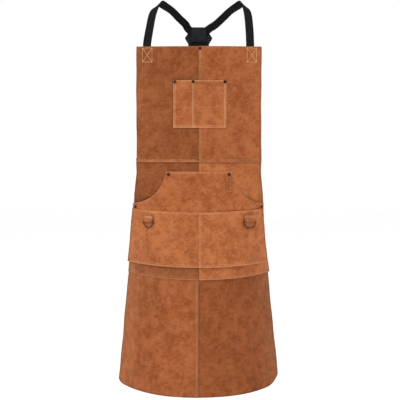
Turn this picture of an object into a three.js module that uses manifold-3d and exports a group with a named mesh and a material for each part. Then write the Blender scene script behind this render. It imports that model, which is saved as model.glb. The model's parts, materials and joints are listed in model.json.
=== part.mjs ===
// Welding apron of suede split cowhide, shown as it hangs when worn, in millimetres with +Z up.
// The front of the apron faces -Y. "left" and "right" are the sides seen from the front (-X, +X).
// The origin is on the centre plane, level with the undersides of the straps where they cross
// the shoulders.

import * as THREE from 'three';
import { mergeVertices } from 'three/addons/utils/BufferGeometryUtils.js';
import Module from 'manifold-3d';

const wasm = await Module();
wasm.setup();

// ---- Driving dimensions --------------------------------------------------------------------

const APRON_LENGTH = 1067; // bib top to hem at the centre
const BIB_HALF_WIDTH = 190; // half the worn width of the bib
const FLARE_START = 381; // distance below the bib top where the sides begin to flare
const SIDE_FLARE = 0.102; // how far each side moves out per millimetre further down
const HEM_RISE = 18; // how much higher the hem is at the sides than at the centre
const LEFT_HEM_RADIUS = 18;
const RIGHT_HEM_RADIUS = 42;

const LEATHER = 1.4; // thickness of the suede
const SKIN_GAP = 0.5; // air between two lapped layers
const LAYER = LEATHER + SKIN_GAP;

const BIB_DROP = 155; // shoulder level down to the bib top
const CHEST_DEPTH = 118; // centre of the bib top, in front of the shoulder line
const BELLY_LEAN = 12; // how much further forward the hem is than the bib top
const TOP_WRAP = 15; // how far the bib's top corners lie behind its centre
const HIP_WRAP = 150; // how far the skirt's sides lie behind its centre
const WRAP_START = 200; // the wrap grows from here ...
const WRAP_END = 800; // ... to here, measured down from the bib top

const BIB_SEAM = 352; // lower edge of the bib panels
const SKIRT_SEAM = 706; // lower edge of the waist panels, at the centre
const SKIRT_SEAM_RISE = 10; // how much higher that edge is at the sides
const SEAM_LAP = 12; // lap of one panel over the next

const CHEST_POCKET_WIDTH = 160;
const CHEST_POCKET_HEIGHT = 143;
const CHEST_POCKET_TOP = 102;
const CHEST_POCKET_OFFSET = 4; // the pocket's centre is this far to the right
const CHEST_POCKET_DIVIDER = 60; // left compartment's width

const HAND_POCKET_TOP = 380;
const HAND_POCKET_LEFT = -98; // left end of the pocket's top edge
const HAND_POCKET_RIGHT = 100;
const HAND_POCKET_SIDE = 476; // where the curved openings meet the side edges
const HAND_POCKET_BOTTOM = 520;
const MOUTH_REACH = [16, 46]; // how far the openings' curve is pulled out near its top and its end ...
const MOUTH_LIFT = [28, 6]; // ... and how far above the side point it is pulled
const TOOL_SLOT_WIDTH = 17;
const TOOL_SLOT_HEIGHT = 47;
const TOOL_SLOT_INSET = 2; // from the end of the pocket's top edge
const TOOL_SLOT_DROP = 12; // below the pocket's top edge

const LOWER_POCKET_TOP = 500;
const LOWER_POCKET_TOP_RISE = 8; // the top edge is this much higher at the sides
const LOWER_POCKET_HEIGHT = 168;
const LOWER_POCKET_BOTTOM_RISE = 6;
const LOWER_POCKET_INSET = 9; // the right half stops this far short of the side edge

const WEBBING_WIDTH = 25;
const WEBBING = 1.6; // thickness of the webbing
const FIT_GAP = 0.3; // clearance between pieces that touch
const LOOP_GAP = 0.5; // clearance where one of the two is curved
const SHOULDER_SPACING = 256; // between the crests of the two straps
const SHOULDER_SHIFT = 8; // both crests sit this far to the right
const SHOULDER_SLOPE = 6; // the middle of a strap's crest lies this far below the shoulder line
const BACK_DEPTH = 134; // wearer's back, behind the shoulder line
const CROSSING_DROP = 103; // shoulder level down to where the straps cross
const STRAP_SEAM = 48; // length of strap sewn behind each bib corner
const STRAP_INSET = 35; // strap centre to the side edge of the bib
const WAIST_STRAP_DROP = 466; // bib top down to the waist strap and its rings

const RIVET_HEAD = 9.5; // diameter of a rivet's cap
const RIVET_POST = 3.2;
const RIVET_HOLE = 4.2;
const RIVET_CAP_HEIGHT = 2.2;
const RIVET_WASHER = 0.9; // thickness of the washer behind
const RIVET_SEAT_GAP = 0.9; // cap and washer stand this clear of the curved leather

const RING_WIRE = 4; // wire of the tool rings
const RING_WIDTH = 43; // outside, along the straight bar
const RING_DEPTH = 27; // outside, across the ring
const RING_TAB_WIDTH = RING_WIDTH - 2 * (RING_WIRE + LOOP_GAP);
const RING_TAB_HEIGHT = 24;
const RING_SPACING = 302; // between the centres of the two tool rings
const SIDE_RING_WIRE = 3.4;
const SIDE_RING_ROOM = 3.1; // room above and below the strap inside a side ring
const SIDE_RING_HEIGHT = WEBBING_WIDTH + 2 * (SIDE_RING_ROOM + SIDE_RING_WIRE);
const SIDE_RING_LENGTH = 24;

const BUCKLE_RIM = 5.5; // the buckle reaches this far past each edge of the strap
const BUCKLE_HEIGHT = WEBBING_WIDTH + 2 * BUCKLE_RIM;
const BUCKLE_THICKNESS = 11;
const BUCKLE_BODY = 28; // length of the socket's body
const BUCKLE_FRAME = 15; // length of the strap frame on each half
const BUCKLE_BAR = 3.6;
const KEEPER_LENGTH = 12;
const KEEPER_PLACE = 86; // keeper centre, from the centre plane
const STRAP_TAIL = 108; // free end of the waist strap, from the centre plane

// ---- Materials -----------------------------------------------------------------------------

const suede = () => new THREE.MeshStandardMaterial({ color: 0xa8623c, roughness: 0.95, metalness: 0 });
const suedeDark = () => new THREE.MeshStandardMaterial({ color: 0x935232, roughness: 0.95, metalness: 0 });
const webbing = () => new THREE.MeshStandardMaterial({ color: 0x222220, roughness: 0.85, metalness: 0 });
const padMaterial = () => new THREE.MeshStandardMaterial({ color: 0x1c1e22, roughness: 0.7, metalness: 0 });
const darkMetal = () => new THREE.MeshStandardMaterial({ color: 0x4a3a30, roughness: 0.4, metalness: 1 });
const plastic = () => new THREE.MeshStandardMaterial({ color: 0x17181a, roughness: 0.45, metalness: 0 });

// ---- Solids --------------------------------------------------------------------------------

/** Turn a closed three.js geometry into a solid that can be cut and joined. */
function solid(geometry) {
  const bare = new THREE.BufferGeometry();
  bare.setAttribute('position', geometry.getAttribute('position').clone());
  if (geometry.index) {
    bare.setIndex(geometry.index.clone());
  }
  const merged = mergeVertices(bare, 1e-4);
  return new wasm.Manifold(new wasm.Mesh({
    numProp: 3,
    vertProperties: new Float32Array(merged.getAttribute('position').array),
    triVerts: new Uint32Array(merged.index.array),
  }));
}

/** Turn a solid back into a three.js geometry. */
function shell(body) {
  const mesh = body.getMesh();
  const geometry = new THREE.BufferGeometry();
  geometry.setAttribute('position', new THREE.BufferAttribute(mesh.vertProperties, 3));
  geometry.setIndex(new THREE.BufferAttribute(mesh.triVerts, 1));
  geometry.computeVertexNormals();
  return geometry;
}

function mesh(name, geometry, material) {
  const piece = new THREE.Mesh(geometry, material);
  piece.name = name;
  return piece;
}

/** Build a closed grid of rings of points: each ring is a closed section, the ends are capped. */
function loft(sections) {
  const corners = sections[0].length;
  const positions = sections.flat().flatMap((point) => point.toArray());
  const index = [];
  for (let i = 0; i + 1 < sections.length; i += 1) {
    for (let k = 0; k < corners; k += 1) {
      const a = i * corners + k;
      const b = i * corners + ((k + 1) % corners);
      index.push(a, b, a + corners, b, b + corners, a + corners);
    }
  }
  const last = (sections.length - 1) * corners;
  for (let k = 1; k + 1 < corners; k += 1) {
    index.push(0, k + 1, k, last, last + k, last + k + 1);
  }
  const geometry = new THREE.BufferGeometry();
  geometry.setAttribute('position', new THREE.Float32BufferAttribute(positions, 3));
  geometry.setIndex(index);
  return geometry;
}

/** A box from its size and centre. */
function block(width, depth, height, x, y, z) {
  return new THREE.BoxGeometry(width, depth, height).translate(x, y, z);
}

// ---- The surface that the leather lies on ----------------------------------------------------

const smooth = (t) => t * t * (3 - 2 * t);
const clamp01 = (t) => Math.min(1, Math.max(0, t));
const heightAt = (drop) => -BIB_DROP - drop;
const halfWidth = (drop) => BIB_HALF_WIDTH + SIDE_FLARE * Math.max(0, drop - FLARE_START);

/** Radius, half angle and front of the arc that the apron follows at one height. */
function arcAt(drop) {
  const half = halfWidth(drop);
  const share = clamp01((drop - WRAP_START) / (WRAP_END - WRAP_START));
  const wrap = TOP_WRAP + (HIP_WRAP - TOP_WRAP) * smooth(share);
  const radius = (half * half + wrap * wrap) / (2 * wrap);
  const front = -CHEST_DEPTH - (BELLY_LEAN * drop) / APRON_LENGTH;
  return { radius, halfAngle: Math.asin(half / radius), front };
}

/** Point on the surface at an angle round the arc, moved out by offset. */
function pointAtAngle(angle, drop, offset) {
  const { radius, front } = arcAt(drop);
  const out = radius + offset;
  return new THREE.Vector3(out * Math.sin(angle), front + radius - out * Math.cos(angle), heightAt(drop));
}

/** Angle round the arc of the point that lies at x. */
const angleAt = (x, drop) => Math.asin(x / arcAt(drop).radius);
const pointAt = (x, drop, offset) => pointAtAngle(angleAt(x, drop), drop, offset);

/** Outward normal of the surface. */
function normalAt(x, drop) {
  const step = 1;
  const across = pointAt(x + step, drop, 0).sub(pointAt(x - step, drop, 0));
  const down = pointAt(x, drop + step, 0).sub(pointAt(x, drop - step, 0));
  return across.cross(down).negate().normalize();
}

/** Frame on the surface: +Z runs outward, +X to the right, and +Y up the apron. */
function standOn(x, drop, lift) {
  const outward = normalAt(x, drop);
  const along = new THREE.Vector3().crossVectors(new THREE.Vector3(0, 0, 1), outward).normalize();
  const up = new THREE.Vector3().crossVectors(outward, along);
  const matrix = new THREE.Matrix4().makeBasis(along, up, outward);
  return matrix.setPosition(pointAt(x, drop, 0).addScaledVector(outward, lift));
}

const SLAB_COLUMNS = 22;
const SLAB_ROW_HEIGHT = 50;

/** Closed sheet between two grids of points that have the same rows and columns. */
function sheetBetween(inner, outer) {
  const rows = inner.length;
  const columns = inner[0].length;
  const positions = [...inner.flat(), ...outer.flat()].flatMap((point) => point.toArray());
  const at = (face, row, column) => (face * rows + row) * columns + column;
  const index = [];
  const quad = (a, b, c, d) => index.push(a, b, c, a, c, d);
  for (let row = 0; row + 1 < rows; row += 1) {
    for (let column = 0; column + 1 < columns; column += 1) {
      const corners = [[row, column], [row + 1, column], [row + 1, column + 1], [row, column + 1]];
      const [a, b, c, d] = corners.map(([r, k]) => at(0, r, k));
      const [e, f, g, h] = corners.map(([r, k]) => at(1, r, k));
      index.push(a, c, b, a, d, c);
      quad(e, f, g, h);
    }
    quad(at(0, row, 0), at(0, row + 1, 0), at(1, row + 1, 0), at(1, row, 0));
    const end = columns - 1;
    quad(at(1, row, end), at(1, row + 1, end), at(0, row + 1, end), at(0, row, end));
  }
  for (let column = 0; column + 1 < columns; column += 1) {
    const end = rows - 1;
    quad(at(0, 0, column), at(1, 0, column), at(1, 0, column + 1), at(0, 0, column + 1));
    quad(at(1, end, column), at(0, end, column), at(0, end, column + 1), at(1, end, column + 1));
  }
  const geometry = new THREE.BufferGeometry();
  geometry.setAttribute('position', new THREE.Float32BufferAttribute(positions, 3));
  geometry.setIndex(index);
  return geometry;
}

/** A sheet of leather over the whole apron, with its inner face at offset. */
function slab(offset) {
  const bottom = APRON_LENGTH + HEM_RISE;
  const steps = Math.ceil(bottom / SLAB_ROW_HEIGHT);
  const faces = [offset, offset + LEATHER].map((lift) => {
    const rows = [];
    for (let row = 0; row <= steps; row += 1) {
      const drop = Math.min(bottom, row * SLAB_ROW_HEIGHT);
      const { halfAngle } = arcAt(drop);
      const points = [];
      for (let column = 0; column <= SLAB_COLUMNS; column += 1) {
        const angle = halfAngle * ((2 * column) / SLAB_COLUMNS - 1);
        points.push(pointAtAngle(angle, drop, lift));
      }
      rows.push(points);
    }
    return rows;
  });
  return solid(sheetBetween(faces[0], faces[1]));
}

const OUTLINE_DEPTH = 700;

/** Extrude a front outline straight through the apron, along Y. */
function cutter(shape) {
  const options = { depth: OUTLINE_DEPTH, bevelEnabled: false, curveSegments: 10 };
  const geometry = new THREE.ExtrudeGeometry(shape, options);
  return solid(geometry.rotateX(Math.PI / 2).translate(0, OUTLINE_DEPTH / 2, 0));
}

/** One leather piece: its outline in the front view, laid on the surface at a layer. */
function leather(name, shape, layer, holes, material) {
  let body = slab(layer * LAYER).intersect(cutter(shape));
  for (const hole of holes) {
    body = body.subtract(hole);
  }
  return mesh(name, shell(body), material);
}

/** Outline from points given as [x, drop below the bib top]. */
function outline(points) {
  return new THREE.Shape(points.map(([x, drop]) => new THREE.Vector2(x, heightAt(drop))));
}

// ---- Panels ----------------------------------------------------------------------------------

const BEYOND = 280; // past the sides, where the sheet itself ends
const CENTRE_LAP = 9;
const EDGE_STEPS = 12;
const EDGE_POWER = 2; // the seams across rise toward the sides as a parabola
const TOP_ROOM = 10; // the bib's outline starts above its own top edge

/** Points of an edge that runs across the apron, from x0 to x1, higher at the sides by rise. */
function edgeAcross(x0, x1, drop, rise, power) {
  const points = [];
  for (let i = 0; i <= EDGE_STEPS; i += 1) {
    const x = x0 + ((x1 - x0) * i) / EDGE_STEPS;
    const share = Math.abs(x) / halfWidth(drop);
    points.push([x, drop - rise * share ** power]);
  }
  return points;
}

function bibOutline(side, lap) {
  return outline([
    [-side * lap, -TOP_ROOM], [side * BEYOND, -TOP_ROOM], [side * BEYOND, BIB_SEAM], [-side * lap, BIB_SEAM],
  ]);
}

function waistOutline(side, lap) {
  const top = BIB_SEAM - SEAM_LAP;
  const lower = edgeAcross(side * BEYOND, -side * lap, SKIRT_SEAM, SKIRT_SEAM_RISE, EDGE_POWER);
  return outline([[-side * lap, top], [side * BEYOND, top], ...lower]);
}

const HEM_POWER = 3;
const hemDrop = (x) => APRON_LENGTH - HEM_RISE * (Math.abs(x) / halfWidth(APRON_LENGTH)) ** HEM_POWER;

function skirtOutline(side, lap, cornerRadius) {
  const seam = SKIRT_SEAM - SEAM_LAP;
  const upper = edgeAcross(-side * lap, side * BEYOND, seam, SKIRT_SEAM_RISE, EDGE_POWER);
  const edge = halfWidth(APRON_LENGTH);
  const start = edge - cornerRadius;
  const points = [];
  for (let i = 0; i <= EDGE_STEPS; i += 1) {
    const turn = (Math.PI / 2) * (1 - i / EDGE_STEPS);
    const x = start + cornerRadius * Math.sin(turn);
    points.push([side * x, hemDrop(start) - cornerRadius * (1 - Math.cos(turn))]);
  }
  const hem = [];
  for (let i = 1; i <= EDGE_STEPS; i += 1) {
    const x = start + ((-lap - start) * i) / EDGE_STEPS;
    hem.push([side * x, hemDrop(x)]);
  }
  const cornerTop = hemDrop(start) - cornerRadius;
  return outline([...upper, [side * BEYOND, cornerTop], ...points, ...hem]);
}

// ---- Pockets ---------------------------------------------------------------------------------

function chestPocketOutline() {
  const left = CHEST_POCKET_OFFSET - CHEST_POCKET_WIDTH / 2;
  const right = left + CHEST_POCKET_WIDTH;
  const bottom = CHEST_POCKET_TOP + CHEST_POCKET_HEIGHT;
  return outline([[left, CHEST_POCKET_TOP], [right, CHEST_POCKET_TOP], [right, bottom], [left, bottom]]);
}

/** The hand pocket: straight top edge, a curved opening down to each side. */
function handPocketOutline() {
  const shape = new THREE.Shape();
  const side = halfWidth(HAND_POCKET_SIDE) + MOUTH_LIFT[1];
  const mouth = (sign, top) => [
    sign * (Math.abs(top) + MOUTH_REACH[0]), heightAt(HAND_POCKET_SIDE - MOUTH_LIFT[0]),
    sign * (Math.abs(top) + MOUTH_REACH[1]), heightAt(HAND_POCKET_SIDE - MOUTH_LIFT[1]),
    sign * side, heightAt(HAND_POCKET_SIDE),
  ];
  shape.moveTo(HAND_POCKET_LEFT, heightAt(HAND_POCKET_TOP));
  shape.bezierCurveTo(...mouth(-1, HAND_POCKET_LEFT));
  shape.lineTo(-BEYOND, heightAt(HAND_POCKET_SIDE));
  shape.lineTo(-BEYOND, heightAt(HAND_POCKET_BOTTOM));
  shape.lineTo(BEYOND, heightAt(HAND_POCKET_BOTTOM));
  shape.lineTo(BEYOND, heightAt(HAND_POCKET_SIDE));
  shape.lineTo(side, heightAt(HAND_POCKET_SIDE));
  const [x1, y1, x2, y2] = mouth(1, HAND_POCKET_RIGHT);
  shape.bezierCurveTo(x2, y2, x1, y1, HAND_POCKET_RIGHT, heightAt(HAND_POCKET_TOP));
  shape.closePath();
  return shape;
}

function toolSlotOutline() {
  const left = HAND_POCKET_RIGHT - TOOL_SLOT_WIDTH - TOOL_SLOT_INSET;
  const top = HAND_POCKET_TOP + TOOL_SLOT_DROP;
  return outline([
    [left, top], [left + TOOL_SLOT_WIDTH, top],
    [left + TOOL_SLOT_WIDTH, top + TOOL_SLOT_HEIGHT], [left, top + TOOL_SLOT_HEIGHT],
  ]);
}

/** One half of the lower pocket, whose side edge stops short of the panel's by inset. */
function lowerPocketOutline(side, lap, inset) {
  const bottom = LOWER_POCKET_TOP + LOWER_POCKET_HEIGHT;
  const upper = side * (halfWidth(LOWER_POCKET_TOP) - inset);
  const lower = side * (halfWidth(bottom) - inset);
  return outline([
    ...edgeAcross(-side * lap, upper, LOWER_POCKET_TOP, LOWER_POCKET_TOP_RISE, EDGE_POWER),
    ...edgeAcross(lower, -side * lap, bottom, LOWER_POCKET_BOTTOM_RISE, EDGE_POWER),
  ]);
}

// ---- Layers, counted outward from the wearer ---------------------------------------------------

const layers = {
  skirtRight: -2, skirtLeft: -1, waistLeft: 0, waistRight: 1, bibLeft: 2, bibRight: 3,
  chestPocket: 4, handPocket: 2, toolSlot: 3, lowerPocketLeft: 3, lowerPocketRight: 4,
};
const outerFace = (layer) => layer * LAYER + LEATHER;

// ---- Rivets ------------------------------------------------------------------------------------

const pocketLeft = CHEST_POCKET_OFFSET - CHEST_POCKET_WIDTH / 2;
const CORNER_INSET = 5;
const SIDE_RIVET_INSET = 9;
const HAND_RIVET_INSET = 8;
const TOP_RIVET_DROP = 7;
const sideRivetDrop = HAND_POCKET_SIDE + 2 * CORNER_INSET;

const chestRow = CHEST_POCKET_TOP + CORNER_INSET;
const handRow = HAND_POCKET_TOP + CORNER_INSET;
const sideRivetX = halfWidth(sideRivetDrop) - SIDE_RIVET_INSET;

/** A rivet at x and drop, through every layer between two of them. */
const rivetAt = (name, x, drop, from, to) => ({ name, x, drop, from, to });

const rivets = [
  rivetAt('chest_left', pocketLeft + CORNER_INSET, chestRow, 'bibLeft', 'chestPocket'),
  rivetAt('chest_middle', pocketLeft + CHEST_POCKET_DIVIDER, chestRow, 'bibLeft', 'chestPocket'),
  rivetAt('chest_right', pocketLeft + CHEST_POCKET_WIDTH - CORNER_INSET, chestRow, 'bibRight', 'chestPocket'),
  rivetAt('bib_top', CENTRE_LAP / 2, TOP_RIVET_DROP, 'bibLeft', 'bibRight'),
  rivetAt('hand_left', HAND_POCKET_LEFT + HAND_RIVET_INSET, handRow, 'waistLeft', 'handPocket'),
  rivetAt('hand_right', HAND_POCKET_RIGHT - HAND_RIVET_INSET, handRow, 'waistRight', 'handPocket'),
  rivetAt('side_left', -sideRivetX, sideRivetDrop, 'waistLeft', 'handPocket'),
  rivetAt('side_right', sideRivetX, sideRivetDrop, 'waistRight', 'handPocket'),
];

/** A drill through every layer at one rivet. */
function drill(rivet) {
  const length = 60;
  const cylinder = new THREE.CylinderGeometry(RIVET_HOLE / 2, RIVET_HOLE / 2, length, 12);
  cylinder.rotateX(Math.PI / 2);
  cylinder.applyMatrix4(standOn(rivet.x, rivet.drop, 0));
  return solid(cylinder);
}

const drills = Object.fromEntries(rivets.map((rivet) => [rivet.name, drill(rivet)]));

/** The domed cap in front, and the post with its washer behind. */
function rivetMeshes(rivet) {
  const back = layers[rivet.from] * LAYER - RIVET_SEAT_GAP;
  const front = outerFace(layers[rivet.to]) + RIVET_SEAT_GAP;
  const head = RIVET_HEAD / 2;
  const post = RIVET_POST / 2;
  const place = standOn(rivet.x, rivet.drop, 0);
  const cap = new THREE.LatheGeometry([
    new THREE.Vector2(0, front), new THREE.Vector2(head, front),
    new THREE.Vector2(head, front + 0.7), new THREE.Vector2(head * 0.8, front + 1.6),
    new THREE.Vector2(head * 0.4, front + RIVET_CAP_HEIGHT - 0.1),
    new THREE.Vector2(0, front + RIVET_CAP_HEIGHT),
  ], 12).rotateX(Math.PI / 2);
  const shank = new THREE.LatheGeometry([
    new THREE.Vector2(0, back - RIVET_WASHER), new THREE.Vector2(head * 0.9, back - RIVET_WASHER),
    new THREE.Vector2(head * 0.9, back), new THREE.Vector2(post, back),
    new THREE.Vector2(post, front - FIT_GAP), new THREE.Vector2(0, front - FIT_GAP),
  ], 12).rotateX(Math.PI / 2);
  return [
    mesh(`rivet_cap_${rivet.name}`, shell(solid(cap.applyMatrix4(place))), darkMetal()),
    mesh(`rivet_post_${rivet.name}`, shell(solid(shank.applyMatrix4(place))), darkMetal()),
  ];
}

// ---- Tool rings on the lower pocket --------------------------------------------------------------

const RING_SECTION = 8;

/** A round wire swept along a closed list of points in the local XY plane. */
function wireRing(points, diameter) {
  const count = points.length;
  const sections = points.map((point, i) => {
    const ahead = points[(i + 1) % count].clone().sub(point).normalize();
    const behind = point.clone().sub(points[(i + count - 1) % count]).normalize();
    const tangent = ahead.add(behind).normalize();
    const across = new THREE.Vector3(-tangent.y, tangent.x, 0);
    const section = [];
    for (let k = 0; k < RING_SECTION; k += 1) {
      const turn = (2 * Math.PI * (k + 0.5)) / RING_SECTION;
      const lift = new THREE.Vector3(0, 0, Math.sin(turn));
      const spoke = across.clone().multiplyScalar(Math.cos(turn)).add(lift);
      section.push(spoke.multiplyScalar(diameter / 2).add(point));
    }
    return section;
  });
  const geometry = loft([...sections, sections[0]]);
  const index = Array.from(geometry.index.array).slice(0, count * RING_SECTION * 6);
  geometry.setIndex(index);
  return geometry;
}

/** Centre line of a D: a straight bar on top (y = 0) and a bow below. */
function deeLine() {
  const half = (RING_WIDTH - RING_WIRE) / 2;
  const depth = RING_DEPTH - RING_WIRE;
  const bow = [];
  const steps = 18;
  for (let i = 0; i <= steps; i += 1) {
    const turn = (Math.PI * i) / steps;
    const x = half * Math.sign(Math.cos(turn)) * Math.abs(Math.cos(turn)) ** 0.75;
    bow.push(new THREE.Vector3(x, -depth * Math.sin(turn) ** 0.8, 0));
  }
  const bar = [-0.6, -0.2, 0.2, 0.6].map((share) => new THREE.Vector3(half * share, 0, 0));
  return [...bow, ...bar];
}

const TAB_LEATHER = 1.4;
const TAB_GAP = 0.6;
const SIDE_TAB_GAP = 1.4;
const TAB_FOLD = 3 * RING_WIRE; // the folded tab lies flat from here up
const TAB_STEP = 6; // the front ply ends this far below the back one

/** A leather tab sewn to the pocket, folded round the ring's bar; its section is in local YZ. */
function ringTab(side) {
  const layer = side < 0 ? layers.lowerPocketLeft : layers.lowerPocketRight;
  const place = ringPlace(side);
  const inside = RING_WIRE / 2 + FIT_GAP;
  const outside = inside + TAB_LEATHER;
  const steps = 10;
  const lie = outerFace(layer) + TAB_GAP - ringLift(side);
  const shape = new THREE.Shape();
  shape.moveTo(lie, RING_TAB_HEIGHT);
  shape.lineTo(lie, TAB_FOLD);
  for (let i = 0; i <= steps; i += 1) {
    const turn = Math.PI - (Math.PI * i) / steps;
    shape.lineTo(outside * Math.cos(turn), -outside * Math.sin(turn));
  }
  const foldFace = lie + TAB_LEATHER + FIT_GAP;
  shape.lineTo(foldFace + TAB_LEATHER, TAB_FOLD);
  shape.lineTo(foldFace + TAB_LEATHER, RING_TAB_HEIGHT - TAB_STEP);
  shape.lineTo(foldFace, RING_TAB_HEIGHT - TAB_STEP);
  shape.lineTo(foldFace, TAB_FOLD);
  for (let i = steps; i >= 0; i -= 1) {
    const turn = Math.PI - (Math.PI * i) / steps;
    shape.lineTo(inside * Math.cos(turn), -inside * Math.sin(turn));
  }
  shape.lineTo(lie + TAB_LEATHER, TAB_FOLD);
  shape.lineTo(lie + TAB_LEATHER, RING_TAB_HEIGHT);
  shape.closePath();
  const geometry = new THREE.ExtrudeGeometry(shape, { depth: RING_TAB_WIDTH, bevelEnabled: false });
  geometry.translate(0, 0, -RING_TAB_WIDTH / 2);
  geometry.rotateY(-Math.PI / 2);
  return shell(solid(geometry.applyMatrix4(place)));
}

const ringDrop = LOWER_POCKET_TOP + 28;
/** Height of the ring's bar above the pocket's surface frame. */
function ringLift(side) {
  const layer = side < 0 ? layers.lowerPocketLeft : layers.lowerPocketRight;
  return outerFace(layer) + TAB_GAP + TAB_LEATHER + FIT_GAP + RING_WIRE / 2 + 1;
}
const ringPlace = (side) => standOn((side * RING_SPACING) / 2, ringDrop, ringLift(side));

/** The ring hangs straight down from its bar, clear of the leaning leather. */
function hangingPlace(side) {
  const place = ringPlace(side);
  const along = new THREE.Vector3().setFromMatrixColumn(place, 0);
  const up = new THREE.Vector3(0, 0, 1);
  const outward = new THREE.Vector3().crossVectors(along, up);
  const matrix = new THREE.Matrix4().makeBasis(along, up, outward);
  return matrix.setPosition(new THREE.Vector3().setFromMatrixPosition(place));
}

// ---- Webbing -------------------------------------------------------------------------------------

/** A flat strap along hand-set points, each given as [x, y, z, outward normal x, y, z]. */
function strap(path, steps) {
  const curve = (points) => new THREE.CatmullRomCurve3(points, false, 'centripetal');
  const centre = curve(path.map((p) => new THREE.Vector3(p[0], p[1], p[2])));
  const facing = curve(path.map((p) => new THREE.Vector3(p[3], p[4], p[5])));
  centre.arcLengthDivisions = 2000;
  const sections = [];
  for (let i = 0; i <= steps; i += 1) {
    const t = centre.getUtoTmapping(i / steps);
    const point = centre.getPoint(t);
    const tangent = centre.getTangent(t);
    const out = facing.getPoint(t);
    out.addScaledVector(tangent, -out.dot(tangent)).normalize();
    const across = new THREE.Vector3().crossVectors(out, tangent);
    const half = WEBBING_WIDTH / 2;
    const thick = WEBBING / 2;
    sections.push([[-half, -thick], [half, -thick], [half, thick], [-half, thick]].map(([a, b]) =>
      point.clone().addScaledVector(across, a).addScaledVector(out, b)));
  }
  return solid(loft(sections));
}

const BACK_LAYER = WEBBING + FIT_GAP;
const SHOULDER_STRAP_STEPS = 70;
const WAIST_STRAP_STEPS = 150;
const SIDE_TAB_STEPS = 40;

/** Shoulder strap that starts at the bib corner on one side and ends at the waist on the other. */
function shoulderStrap(side) {
  const layer = side < 0 ? layers.bibLeft : layers.bibRight;
  const inset = BIB_HALF_WIDTH - STRAP_INSET;
  const under = layer * LAYER - FIT_GAP - WEBBING / 2;
  const sewn = [1, 0.6, 0.25, 0, -0.12].map((share) => {
    const drop = STRAP_SEAM * share;
    const point = pointAt(side * inset, drop, under);
    const angle = angleAt(side * inset, drop);
    return [point.x, point.y, point.z, Math.sin(angle), -Math.cos(angle), 0];
  });
  const crest = SHOULDER_SPACING / 2;
  const depth = side < 0 ? BACK_DEPTH : BACK_DEPTH + BACK_LAYER;
  const over = [
    [inset - 3, -84, -101, 0.12, -0.88, 0.45, 0.35],
    [inset - 11, -52, -44, 0.2, -0.6, 0.77, 0.7],
    [crest, -4, -SHOULDER_SLOPE, 0.48, 0, 0.88, 1],
    [crest - 17, 32, -6 - SHOULDER_SLOPE, 0.34, 0.5, 0.8, 1],
    [crest - 37, 66, -26, 0.2, 0.66, 0.72, 1],
    [crest - 59, 99, -44, 0.12, 0.8, 0.58, 0.9],
    [crest - 80, 122, -61, 0.05, 0.93, 0.36, 0.8],
  ].map(([x, y, z, nx, ny, nz, shift]) => [side * x + shift * SHOULDER_SHIFT, y, z, side * nx, ny, nz]);
  const crossing = [[35, 31], [22, 20], [0, 0], [-13, -21], [-26, -52], [-36, -76]]
    .map(([x, z]) => [side * x, depth, z - CROSSING_DROP, 0, 1, 0]);
  const waist = heightAt(WAIST_STRAP_DROP);
  const edge = waistSide();
  const outside = edge.x + BACK_LAYER + LAP_GAP;
  const between = (share, from, to) => from + (to - from) * share;
  const down = [
    [0.378, 0, 0.361, 0.15, 0.98],
    [0.625, 0.173, 0.602, 0.42, 0.9],
    [0.821, 0.442, 0.795, 0.66, 0.75],
    [0.957, 0.731, 0.9035, 0.86, 0.5],
  ].map(([outward, forward, lower, nx, ny]) => [
    edge.x * outward, between(forward, BACK_DEPTH, edge.y), between(lower, -CROSSING_DROP, waist), nx, ny,
  ]);
  const sewnEnd = [
    [outside - 0.5, edge.y + 4, waist + 14, 0.97, 0.2],
    [outside, edge.y, waist - 1, 0.985, 0.15],
    [outside, edge.y - 2, waist - 14, 0.985, 0.15],
  ];
  const lower = [...down, ...sewnEnd].map(([x, y, z, nx, ny]) => [-side * x, y, z, -side * nx, ny, 0]);
  return shell(strap([...sewn, ...over, ...crossing, ...lower], SHOULDER_STRAP_STEPS));
}

const LAP_BEND = 74; // radius that the waist strap bends to under the shoulder strap's flat end
const LAP_GAP = WEBBING_WIDTH ** 2 / (8 * LAP_BEND);

const SIDE_RING_BEHIND = 14; // the ring's front bar lies this far behind the panel's side edge
const SIDE_RING_INSET = 3.5; // ... and this far nearer the wearer
const SIDE_RING_TURN = 2; // its rear bar lies this far further out
const WAIST_LAP = 47.6; // side ring's rear bar to the middle of the sewn lap behind it
const WAIST_LAP_OUT = 1.3;

/** Front and rear bar of the right side ring. */
function sideRingBars() {
  const edge = pointAt(halfWidth(WAIST_STRAP_DROP), WAIST_STRAP_DROP, 0);
  const front = new THREE.Vector2(edge.x - SIDE_RING_INSET, edge.y + SIDE_RING_BEHIND);
  const run = SIDE_RING_LENGTH - SIDE_RING_WIRE;
  return { front, rear: new THREE.Vector2(front.x + SIDE_RING_TURN, front.y + run) };
}

/** Where the shoulder strap is sewn on the waist strap, on the right; mirrored on the left. */
function waistSide() {
  const { rear } = sideRingBars();
  return { x: rear.x + WAIST_LAP_OUT, y: rear.y + WAIST_LAP };
}

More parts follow.
